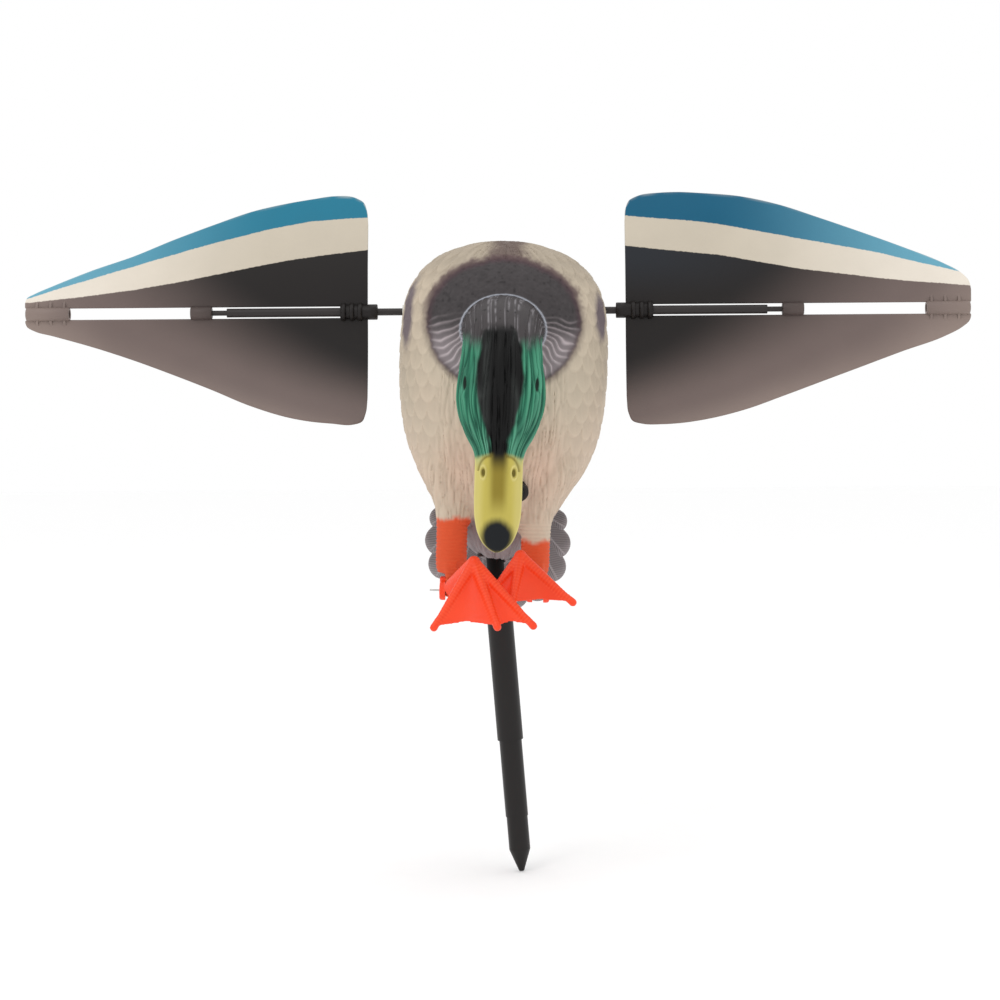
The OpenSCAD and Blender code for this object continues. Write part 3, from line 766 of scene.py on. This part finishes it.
def body_relief(p, where):
    """Height of the moulded feathers at points p, in millimetres."""
    x, z = where["x"], p[:, 2]
    u = where["angle"] * BODY_GIRTH_R
    warp = 3.0 * (noise(p / 16, 11) - 0.5)
    plate, across, up = shingles(u + warp, z + 0.6 * warp, 14.5, 11.5, 21)
    quill = bell(across, 0.09) * 0.22 * step(0.1, 0.4, up)
    barbs = 0.12 * np.sin((np.abs(across) * 7 - up * 8) * 3.4)
    feathers = 1.3 * plate * (0.35 + 0.65 * step(0, 0.16, up)) + quill + barbs * step(0, 0.25, up) - 0.9
    wave = 2.4 * (noise(np.stack([u / 9, z / 17, z * 0], -1), 30) - 0.5)
    streak = noise(np.stack([(u + wave) / 1.9, z / 15, z * 0], -1), 31)
    streak2 = noise(np.stack([(u - wave) / 3.1, z / 10, z * 0 + 4], -1), 32)
    streaks = 0.5 - 1.25 * (1 - np.abs(2 * streak - 1)) ** 3 - 0.8 * (1 - np.abs(2 * streak2 - 1)) ** 3
    side = step(36, 52, np.abs(x) + 0.35 * np.maximum(z + 10, 0) - 6 * step(-90, -140, z))
    side = side * step(-118, -98, z)
    side = np.maximum(side, 1 - where["front"])
    relief = side * feathers + (1 - side) * streaks
    speckle = 0.5 * (noise(p / 1.7, 42) - 0.5) + 0.5 * (noise(p / 4, 45) - 0.5)
    inside = -1.0 + 1.3 * where["rays"] + step(-17, -1, z) * speckle
    relief = relief * (1 - where["bib"]) + inside * where["bib"]
    scales = 0.35 * np.sin(z * 2.3 + 1.5 * noise(p / 5, 46)) + 0.3 * (noise(p / 2, 43) - 0.5)
    relief = relief * (1 - where["leg"]) + where["leg"] * scales
    relief += 1.2 * bell(where["neck_r"] - NECK_BEAD, NECK_BEAD_WIDTH) * where["bib"]
    return relief * where["outside"]


def body_paint(p, where, relief):
    x, y, z = where["x"], p[:, 1], p[:, 2]
    rough = where["rough"]
    cloud = noise(p / 30, 51)
    c = mix(CREAM, WARM, 0.55 * cloud * step(-40, -110, z) + 0.15 * cloud)
    pink = bell(np.abs(x) - 26, 18) * bell(z + 112, 26) * where["front"]
    c = mix(c, PINK, 0.5 * pink)
    # Painted shade: the colour darkens in the hollows of the moulded relief.
    c = c * (0.97 + 0.1 * np.clip(relief, -1.2, 0.3))[:, None]
    patch = np.hypot((y + 26 - 0.25 * z) / 11, (z + 4) / np.where(x < 0, 28, 19)) + 0.06 * rough
    c = mix(c, SHOULDER, 0.9 * step(1.2, 0.6, patch) * (np.abs(x) > 50))
    c = mix(c, BROWN, 0.8 * step(19, 5, np.abs(x - 1) + 2.2 * rough) * step(27, 33, z) * (y < 20))
    c = c * (1 - 0.26 * step(8, 38, z))[:, None]
    spine = step(28, 18, np.abs(x) + 1.4 * rough)
    c = mix(c, BACK, 0.95 * spine * step(-12, 8, y) * step(10, 30, z + 0.4 * y))
    r = where["bib_r"] + 0.014 * rough
    c = mix(c, BROWN, 0.8 * step(1.11, 1.0, r + 0.02 * rough) * (y < 5) * step(-10, 14, z))
    c = mix(c, BIB_EDGE, 0.5 * step(1.09, 1.0, r) * (y < 5))
    leather = 0.78 + 0.3 * noise(p / 1.8, 53) + 0.14 * noise(p / 5, 54)
    leather = leather - 0.3 * step(0.74, 0.86, noise(p / 2.3, 55))
    bib = mix(BIB, BIB_EDGE, step(0.9, 1.0, r)) * leather[:, None]
    low_side = step(-8, -30, z + 0.5 * rough) * step(1.02, 0.92, r)
    bib = mix(bib, BIB_PALE * 0.62, 0.7 * low_side)
    # Painted highlights: the raised rays on the bib's lower sides are given a lighter colour.
    bib = mix(bib, BIB_PALE, where["rays"] * step(1.0, 0.86, r) * (0.35 + 0.65 * low_side))
    c = mix(c, bib, where["bib"])
    bead = bell(where["neck_r"] - NECK_BEAD, NECK_BEAD_WIDTH)
    # Painted highlight along the top of the bead round the neck's seam.
    c = mix(c, SEAM_HIGHLIGHT, 0.8 * bead * where["bib"] * step(-36, -26, z))
    under = step(-145, -153, z + 0.8 * rough) * (where["shin"] > SHIN_PAINT_R) * (np.abs(x) < 62)
    c = mix(c, RUMP, under)
    c = mix(c, BACK, 0.8 * step(-118, -140, z) * step(30, 50, y))
    shin_top = np.where(x < 0, -149.5, -164)
    c = mix(c, ORANGE_DULL, step(2.5, -2.5, z - shin_top + 1.3 * rough) * (where["shin"] < SHIN_PAINT_R))
    return mix(RAW, c, where["outside"])


def hatch_prism(grow):
    width, height, top = HATCH
    r = 8 + grow
    a = np.linspace(0, 2 * math.pi, 40, endpoint=False)
    across = np.sign(np.cos(a)) * (width / 2 + grow - r) + r * np.cos(a)
    up = np.sign(np.sin(a)) * (height / 2 + grow - r) + r * np.sin(a) + top - height / 2
    rings = np.stack([np.stack([across, np.full(40, y), up], -1) for y in HATCH_Y])
    return Shape().tube(rings[:, ::-1])


def pole_line():
    """A point on the pole and the pole's direction, in the duck's frame."""
    to_duck = np.stack([DUCK_X, [0, 1, 0], DUCK_Z])
    low, high = (np.array(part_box("pole_peg")[k]) for k in (0, 1))
    direction = np.array(joints["duck_swivel"]["axis"], float)
    middle = (low + high) / 2
    return to_duck @ (middle - AXLE) / MM, to_duck @ direction


def body_bores():
    """Solids of the axle's, the switch's, the peg's and the socket screws' holes."""
    middle, up = pole_line()
    entry = middle + up * ((SOCKET_MOUTH_Z - middle[2]) / up[2])
    yield turned(Shape(), [(-95, AXLE_BORE), (95, AXLE_BORE)], (0, 0, 0), ROLL)
    yield turned(Shape(), [(-20, SWITCH_BORE), (20, SWITCH_BORE)], SWITCH, SWITCH_WAY)
    yield turned(Shape(), [(-20, PEG_BORE), (20, PEG_BORE)], entry, up)
    for x in (-SCREW_X, SCREW_X):
        profile = [(-8, 3.2), (5.5, 3.2), (5.6, 1.7), (22, 1.7)]
        yield turned(Shape(), profile, entry + np.array([x, 0, 0]), up, 24)


def finish_skin(obj, name, body, fittings=None):
    """Relief and paint for a piece of the duck's skin, and its fittings added."""
    refine(obj, 1)
    p = get_points(obj)
    where = body_places(p)
    relief = body_relief(p, where)
    colour_layer(obj, "paint", body_paint(p, where, relief))
    set_points(obj, place(p + get_normals(obj) * relief[:, None] * 0.8))
    dress(obj, surface(name, layer="paint", rough=0.66, mottle=0.05, mottle_scale=160, grain=0.3,
                       grain_scale=700, stretch=(1, 1, 0.35), specular=0.22))
    obj.data.set_sharp_from_angle(angle=math.radians(60))
    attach(obj, body)
    if fittings:
        extra = new_object(name + "_fittings", place(fittings.all_points()), fittings.faces)
        colour_layer(extra, "paint", np.tile(CREAM, (len(extra.data.vertices), 1)))
        extra.data.set_sharp_from_angle(angle=math.radians(40))
        dress(extra, obj.data.materials[0])
        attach(extra, body)


def make_body():
    shape = Shape().tube(body_rings(120, 128))
    for side in (-1, 1):
        shape.tube(leg_rings(side, 60, 48))
        block(shape, (side * LEG_X - TONGUE, ANKLE[0] - 4, ANKLE[1] - 5),
              (side * LEG_X + TONGUE, ANKLE[0] + 6, -180))
    skin = fuse("duck_skin", shape, 1.6, 5)
    carve(skin, Shape().tube(body_rings(60, 64, WALL)))
    hatch = twin(skin, "hatch_skin")
    carve(hatch, hatch_prism(-0.4), "INTERSECT")
    carve(hatch, turned(Shape(), [(60, 2.6), (110, 2.6)], (0, 0, LATCH_Z), (0, 1, 0)))
    carve(skin, hatch_prism(0.4))
    for bore in body_bores():
        carve(skin, bore)
    knuckles = Shape()
    for x in (-30, 16):
        turned(knuckles, bevelled(x, x + 14, HINGE_R, 0.4), (0, HINGE[0], HINGE[1]))
        block(knuckles, (x, HINGE[0] - 7, HINGE[1] + 0.4), (x + 14, HINGE[0] + 0.4, HINGE[1] + 2.9))
    finish_skin(skin, "duck_paint", "duck", knuckles)
    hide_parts("body_shell")
    tongue = turned(Shape(), bevelled(-15.6, 15.6, HINGE_R, 0.4), (0, HINGE[0], HINGE[1]))
    block(tongue, (-15.6, HINGE[0] - 1.6, HINGE[1] - 10), (15.6, HINGE[0] + 2, HINGE[1]))
    finish_skin(hatch, "hatch_paint", "hatch", tongue)
    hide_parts("back_hatch")


make_body()

# ---- Head ----

# Neck, head and bill along their spine: [y, z, dip of the spine, half width, half thickness]
HEAD = [
    (-60, -15, 5, 29.4, 24), (-74, -15.5, 14, 28.6, 23.4), (-88, -18.5, 34, 27.4, 23.2),
    (-99.5, -26.5, 56, 26.6, 23.4), (-107.5, -39, 72, 28, 24), (-111, -52, 82, 29.6, 24.2),
    (-113, -66, 85, 30, 23.6), (-115, -78, 86, 27.8, 21), (-117, -89, 86, 23.6, 17.4),
    (-119, -98, 85, 18.6, 13), (-121.5, -105, 82, 16, 9.5),
    (-124, -115, 81, 15.6, 6.6), (-127, -131, 81, 15.5, 4.8), (-129, -145, 84, 14.6, 4),
    (-130, -154, 86, 12.3, 3.4), (-130.6, -161, 87, 8.4, 2.8), (-131, -165, 88, 3.6, 2),
    (-131, -166.4, 88, 0.6, 0.6),
]
# Half width of the dark crown, by distance below the axle
CROWN_WIDTH = [(10, 0), (14, 7), (18, 10.5), (26, 13), (38, 15), (53, 16.2), (66, 14.6), (80, 10.5),
               (92, 6.5), (104, 5.5)]
EYE = (24.6, -53.5)              # across, height
NOSTRIL = (10.4, -113)
NAIL_Z = -156
HEAD_GIRTH_R = 27                # a middling radius, to turn angles round the head into millimetres


def head_grid():
    """Points of the head's surface, their outward directions, and where they are on it."""
    rows, cols = ((520, 420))
    y, z, dip, a, b = through(HEAD, rows).T
    dip = np.radians(dip)
    t = np.linspace(0, 2 * math.pi, cols, endpoint=False)
    c, s = np.cos(t)[None, :, None], np.sin(t)[None, :, None]
    up = np.stack([np.zeros(rows), -np.sin(dip), np.cos(dip)], -1)[:, None]
    spine = np.stack([np.zeros(rows), y, z], -1)
    across = np.array([1.0, 0, 0])
    rings = spine[:, None] + a[:, None, None] * c * across + b[:, None, None] * s * up
    normal = b[:, None, None] * c * across + a[:, None, None] * s * up
    normal /= np.linalg.norm(normal, axis=2, keepdims=True) + 1e-9
    along = np.concatenate([[0], np.cumsum(np.linalg.norm(np.diff(spine, axis=0), axis=1))])
    x, height = rings[..., 0], rings[..., 2]
    arc = np.broadcast_to(t[None, :] * HEAD_GIRTH_R, x.shape)
    length = np.broadcast_to(along[:, None], x.shape)
    sweep = arc + 5 * (noise2(arc / 14, length / 30, 61) - 0.5)
    return rings, normal, {
        "x": x, "z": height, "arc": arc, "length": length, "on_top": np.broadcast_to(s[..., 0] > 0, x.shape),
        "side": np.abs(np.broadcast_to(c[..., 0], x.shape)) ** 10,
        "comb": (1 - np.abs(2 * noise2(sweep / 1.9, length / 40, 62) - 1)) ** 4,
        "comb2": (1 - np.abs(2 * noise2((2 * arc - sweep) / 3.4, length / 30, 63) - 1)) ** 5,
        "rough": 3 * (noise2(arc / 5, length / 8, 64) - 0.5) + 2 * (noise2(arc / 1.8, length / 5, 65) - 0.5),
        "bill": step(-94, -104, height + 4 * np.abs(x) / 15),
        "eye": np.sqrt(((np.abs(x) - EYE[0]) / 1.0) ** 2 + ((height - EYE[1]) / 4.3) ** 2),
        "nostril": np.sqrt(((np.abs(x) - NOSTRIL[0]) / 1.25) ** 2 + ((height - NOSTRIL[1]) / 2.7) ** 2),
        "crease": np.abs(np.hypot(np.abs(x) - 5.5, (height - NOSTRIL[1]) * 0.75) - 8.4) / 0.8,
    }


def head_relief(at):
    x, z, top, bill = at["x"], at["z"], at["on_top"], at["bill"]
    feathers = (0.6 - 1.6 * at["comb"] - 1.2 * at["comb2"]) * (0.35 + 0.65 * step(-10, -24, z))
    feathers = feathers * (1 - 0.6 * top * bell(at["eye"], 2.2))
    feathers -= 1.0 * bell(z + 92, 12) * bell(np.abs(x) - 15, 7)
    feathers += top * (0.9 * bell(at["eye"] - 2.0, 0.7) - 1.0 * bell(at["eye"], 1.2))
    horn = 0.6 * step(0.75, 1, at["side"]) + 1.2 * top * bell(x, 5.5) * step(-150, -110, z)
    horn -= 0.7 * top * bell(np.abs(x) - 6.6, 1.6) * step(-150, -120, z)
    horn += top * (0.9 * bell(at["nostril"] - 1.5, 0.4) - 1.5 * bell(at["nostril"], 1.0))
    horn -= 0.6 * top * bell(at["crease"], 1) * (z > -112) * (np.abs(x) > 5)
    horn += 0.9 * top * np.exp(-(x / 6.5) ** 2 - ((z - NAIL_Z - 1) / 7) ** 2)
    return feathers * (1 - bill) + horn * bill


def head_paint(at):
    x, z, top, rough = at["x"], at["z"], at["on_top"], at["rough"]
    half = np.interp(-z, *np.array(CROWN_WIDTH).T)
    stripe = step(1.6, -1.6, np.abs(x + 0.4) - half + rough * 0.9) * top * step(-11, -19, z)
    to_green = step(-16, -31, z + 0.9 * rough + 0.3 * (28 - np.abs(x)) * top)
    speck = noise2(at["arc"] / 1.5, at["length"] / 3, 66)
    nape = mix(BIB, NAPE_PALE, 0.42 * step(0.45, 0.95, at["comb"]) * step(0.2, 0.7, speck))
    nape = mix(nape, CROWN, 0.7 * step(0.72, 0.9, noise2(at["arc"] / 2.6, at["length"] / 2.6, 67)))
    green = mix(GREEN, GREEN_PALE_AND_HIGHLIGHT, 0.6 * step(-60, -95, z) * noise2(at["arc"] / 9, at["length"] / 9, 68))
    # Painted highlights on the ridges between the moulded grooves, and painted shade in the grooves.
    green = mix(green, GREEN_PALE_AND_HIGHLIGHT, 0.35 * (1 - at["comb"]) ** 3)
    green = mix(green, GREEN_GROOVE_SHADE, np.clip(0.85 * at["comb"] + 0.5 * at["comb2"], 0, 0.9))
    colour = mix(nape, green, to_green)
    # Painted highlights: thin lighter lines on the crown's moulded feathers.
    crown = mix(CROWN, CROWN_HIGHLIGHT, 0.5 * at["comb2"] * step(5, 12, np.abs(x)))
    colour = mix(colour, crown, stripe)
    colour = mix(colour, CROWN, 0.95 * top * step(1.35, 0.9, at["eye"]))
    horn = mix(BILL, BILL_PALE_AND_HIGHLIGHT, 0.5 * step(8, 14, np.abs(x)))
    horn = mix(horn, GREEN_PALE_AND_HIGHLIGHT, 0.5 * step(-112, -99, z) * step(9, 14, np.abs(x)))
    band = step(8, 2, np.abs(x)) * top
    horn = mix(horn, BILL_DARK, 0.8 * band * step(-146, -126, z))
    horn = mix(horn, CROWN, band * step(-115, -99, z))
    # Painted shade inside the nostril dents and in the creases above them, and a painted highlight round each
    # nostril's rim.
    horn = mix(horn, BILL_DARK * 0.4, top * step(1.25, 0.8, at["nostril"]) * 0.75)
    horn = mix(horn, BILL_PALE_AND_HIGHLIGHT, top * bell(at["nostril"] - 1.7, 0.35) * 0.7)
    horn = mix(horn, BILL_DARK * 0.6, 0.6 * top * bell(at["crease"], 1) * (z > -112) * (np.abs(x) > 5))
    spot = np.sqrt(x**2 + ((z - NAIL_Z) * 0.9) ** 2) + 0.3 * rough
    horn = mix(horn, NAIL, step(13.6, 7.4, spot))
    horn = mix(horn, BILL_PALE_AND_HIGHLIGHT, 0.7 * step(0.6, 0.95, at["side"]))
    return mix(colour, horn, step(0.2, 0.8, at["bill"] + 0.03 * rough))


def make_head():
    rings, normal, at = head_grid()
    shape = Shape().tube(rings + normal * head_relief(at)[..., None])
    head = new_object("duck_head_skin", place(shape.all_points() + np.array([SKIN_X, 0, 0])), shape.faces)
    flat = head_paint(at).reshape(-1, 3)
    colour_layer(head, "paint", np.concatenate([flat, flat[:1], flat[-1:]]))
    dress(head, surface("head_paint", layer="paint", rough=0.52, mottle=0.05, mottle_scale=150, grain=0.2,
                        grain_scale=1000, stretch=(1, 1, 0.3), specular=0.17))
    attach(head, "duck")
    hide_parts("head")


make_head()

# ---- Tail ----

# Feather tips: [across, height, radius]
TAIL = [(44, -157, 9), (44, -174, 12), (41, -192, 12), (31, -207, 12), (12, -213, 13)]
TAIL_ROOT = np.array([9.0, -136.0])
TAIL_Y = 72.0


def feather(shape, tip, reach, y, half_wall=0.7):
    """One tail feather as a thin plate from the tail's root, with a quill and slanting barbs. Its paint
    is worked out with it: 0 in the furrows, 1 on the quill and the rim."""
    rows, cols = ((130, 56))
    middle = np.array(tip, float)
    root = TAIL_ROOT * np.array([np.sign(middle[0]), 1])
    way = (middle - root) / np.linalg.norm(middle - root)
    side = np.array([way[1], -way[0]])
    length = np.linalg.norm(middle - root) + reach
    s = 1 - (1 - np.linspace(0, 1, rows)) ** 1.6
    w = np.linspace(-1, 1, cols)
    half = reach * np.sqrt(np.clip(1 - np.clip((s * length - (length - reach)) / reach, 0, 1) ** 2, 1e-4, 1))
    half = half * (0.35 + 0.65 * step(-0.2, 0.75, s))
    S, W = s[:, None] * length, w[None, :] * half[:, None]
    flat = root + S[..., None] * way + W[..., None] * side
    barbs = np.sin((S - 0.8 * np.abs(W)) * 3.6)
    quill = bell(W, 0.55)
    rim = step(0.86, 1.0, np.maximum(np.abs(w)[None, :] * np.ones_like(S), s[:, None] * np.ones_like(S)))
    lift = 0.17 * barbs * (1 - quill) * (1 - rim) + 0.45 * quill + 0.5 * (1 - np.abs(w)[None, :] ** 2)
    taper = np.clip(4 * (1 - np.abs(w))[None, :], 0.15, 1)
    front = np.stack([flat[..., 0], y - half_wall * taper - lift, flat[..., 1]], -1)
    back = np.stack([flat[..., 0], y + half_wall * taper - 0.4 * lift, flat[..., 1]], -1)
    shape.tube(np.concatenate([front, back[:, ::-1]], 1))
    # Darker in the furrows between the moulded barbs: painted shade. The quill and the rim are painted lighter.
    shade = np.clip(0.42 + 0.28 * barbs + 0.6 * quill + 0.3 * rim, 0, 1)
    shade = np.concatenate([shade, shade[:, ::-1]], 1).ravel()
    return np.concatenate([shade, shade[:1], shade[-1:]])


def make_tail():
    shape, shades = Shape(), []
    for k, (x, z, r) in enumerate(TAIL):
        for side in (-1, 1):
            y = TAIL_Y + 0.9 - 0.42 * k - (0.1 if side > 0 else 0)
            shades.append(feather(shape, (side * x, z), r, y))
    points = shape.all_points()
    tail = new_object("tail_feathers", place(points), shape.faces)
    shade = np.concatenate(shades)
    paint = mix(TAIL_DARK, TAIL_PALE, shade) * (0.92 + 0.16 * noise(points / 9, 71))[:, None]
    colour_layer(tail, "paint", paint)
    dress(tail, surface("tail_paint", layer="paint", rough=0.6, mottle=0.06, grain=0.2, specular=0.22))
    tail.data.set_sharp_from_angle(angle=math.radians(60))
    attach(tail, "duck")
    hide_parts("tail_fan")


make_tail()

# ---- Feet ----

# Instep, outer toe, middle toe, inner toe
LEFT_TOES = np.array([(-14, -86, -177), (-40, -105, -221), (3.5, -110, -219), (28, -106, -218)], float)
RIGHT_TOES = np.array([(18, -74, -173), (55, -88, -203), (13, -93, -204), (0, -82, -196)], float)
RIB_HEIGHT, RIB_PITCH = 0.07, 2.3


def web(shape, apex, a, b, rows=26, cols=26):
    """A sagging sheet between two toes, whose free edge curves in."""
    s, w = np.meshgrid(np.linspace(0.02, 1, rows), np.linspace(0, 1, cols), indexing="ij")
    reach = s * (0.97 - 0.42 * w * (1 - w))
    p = apex + reach[..., None] * ((1 - w)[..., None] * (a - apex) + w[..., None] * (b - apex))
    normal = np.cross(a - apex, b - apex)
    normal /= np.linalg.norm(normal) * (1 if normal[1] > 0 else -1)
    p = p + (3.2 * s * 4 * w * (1 - w))[..., None] * normal
    shape.tube(np.concatenate([p + 0.9 * normal, (p - 0.9 * normal)[:, ::-1]], 1))


def foot_shape(ankle, toes):
    shape = Shape()
    turned(shape, bevelled(-8.1, 8.1, 7.0, 1.0), ankle)
    block(shape, ankle + (-8.1, 0, -2), ankle + (8.1, 14, 9))
    bar(shape, ankle + (0, -3, 1), toes[0], 6.5, 4.5)
    for tip in toes[1:]:
        bar(shape, toes[0], toes[0] + 0.9 * (tip - toes[0]), 4.0, 2.1)
        bar(shape, toes[0] + 0.84 * (tip - toes[0]), tip, 2.3, 2.8)
    web(shape, toes[0], toes[1], toes[2])
    web(shape, toes[0], toes[2], toes[3])
    return shape


def toe_ribs(p, toes):
    """Height of the ribs across the toes, and how near each point is to a toe."""
    rib, near = np.zeros(len(p)), np.zeros(len(p))
    for tip in toes[1:]:
        way = (tip - toes[0]) / np.linalg.norm(tip - toes[0])
        along = (p - toes[0]) @ way
        away = np.linalg.norm(p - toes[0] - along[:, None] * way, axis=1)
        close = step(5.2, 3.6, away) * (along > 3) * (along < np.linalg.norm(tip - toes[0]) - 2)
        rib += close * RIB_HEIGHT * np.sin(along * 2 * math.pi / RIB_PITCH)
        near = np.maximum(near, close)
    return rib, near


def make_foot(name, ankle_x, toes):
    ankle = np.array([ankle_x, ANKLE[0], ANKLE[1]])
    foot = fuse(name + "_skin", foot_shape(ankle, toes), 0.75, 4)
    carve(foot, turned(Shape(), [(-TONGUE, 9.0), (TONGUE, 9.0)], ankle))
    carve(foot, block(Shape(), ankle + (-TONGUE, -8.7, 0), ankle + (TONGUE, 30, 25)))
    carve(foot, turned(Shape(), [(-20, 0.65), (20, 0.65)], ankle, cols=20))
    p = get_points(foot)
    rib, near = toe_ribs(p, toes)
    fine = 0.12 * (noise(p / 1.4, 81) - 0.5)
    # Painted highlights on the crests of the toe ribs and painted shade in their troughs; the soft noise is a tone
    # that varies.
    paint = mix(ORANGE, ORANGE_TONE_AND_HIGHLIGHT, 0.25 * near * np.clip(rib * 12, 0, 1) + 0.12 * noise(p / 14, 82))
    paint = mix(paint, ORANGE_RIB_SHADE, 0.15 * near * np.clip(-rib * 12, 0, 1))
    colour_layer(foot, "paint", paint)
    set_points(foot, place(p + get_normals(foot) * (rib + fine)[:, None]))
    foot.data.set_sharp_from_angle(angle=math.radians(60))
    dress(foot, surface(name + "_plastic", layer="paint", rough=0.42, mottle=0.05, mottle_scale=120,
                        grain=0.12, grain_scale=600, specular=0.35))
    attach(foot, name)
    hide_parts(name)


make_foot("left_foot", -LEG_X, LEFT_TOES)
make_foot("right_foot", LEG_X, RIGHT_TOES)

# ---- Hardware that keeps its CAD shape ----

HARDWARE = {
    "black_plastic": dict(colour=srgb(34, 31, 30), rough=0.5, grain=0.25, grain_scale=1500, specular=0.3),
    "button_rubber": dict(colour=srgb(20, 19, 19), rough=0.62, grain=0.2, grain_scale=1800, specular=0.25),
    "pole_paint": dict(colour=srgb(22, 18, 17), rough=0.4, rough_vary=0.06, mottle=0.16, mottle_scale=60,
                       grain=0.12, grain_scale=900, stretch=(1, 1, 0.15), specular=0.3),
    "peg": dict(colour=srgb(10, 9, 9), rough=0.6, grain=0.12, specular=0.12),
    "steel": dict(colour=(0.55, 0.54, 0.52), rough=0.3, metallic=1.0, grain=0.1, grain_scale=1600),
    "black_steel": dict(colour=srgb(40, 35, 34), rough=0.42, mottle=0.12, grain=0.15, grain_scale=1400,
                        stretch=(0.2, 1, 1), specular=0.35),
    "motor_steel": dict(colour=(0.46, 0.46, 0.47), rough=0.36, metallic=1.0, grain=0.12, grain_scale=1200,
                        stretch=(0.2, 1, 1)),
    "brass": dict(colour=(0.62, 0.44, 0.16), rough=0.32, metallic=1.0, grain=0.1, grain_scale=1400),
    "nylon": dict(colour=srgb(214, 212, 204), rough=0.5, grain=0.15, specular=0.35),
    "battery_case": dict(colour=srgb(44, 47, 56), rough=0.45, grain=0.2, grain_scale=1100, specular=0.35),
    "red_wire": dict(colour=srgb(176, 34, 24), rough=0.45, grain=0.1, specular=0.4),
    "black_wire": dict(colour=srgb(26, 26, 26), rough=0.45, grain=0.1, specular=0.4),
    "magnet": dict(colour=(0.6, 0.6, 0.62), rough=0.22, metallic=1.0, grain=0.06),
}


def dress_hardware():
    finishes = {slot: surface(slot, **settings) for slot, settings in HARDWARE.items()}
    for part in frame["record"]["subparts"]:
        if part["material_slot"] in finishes:
            dress(frame["nodes"][part["node"]], finishes[part["material_slot"]])
    dress(frame["nodes"]["pole_peg"], finishes["peg"])
    dress(frame["nodes"]["socket_screws"], finishes["black_steel"])


dress_hardware()
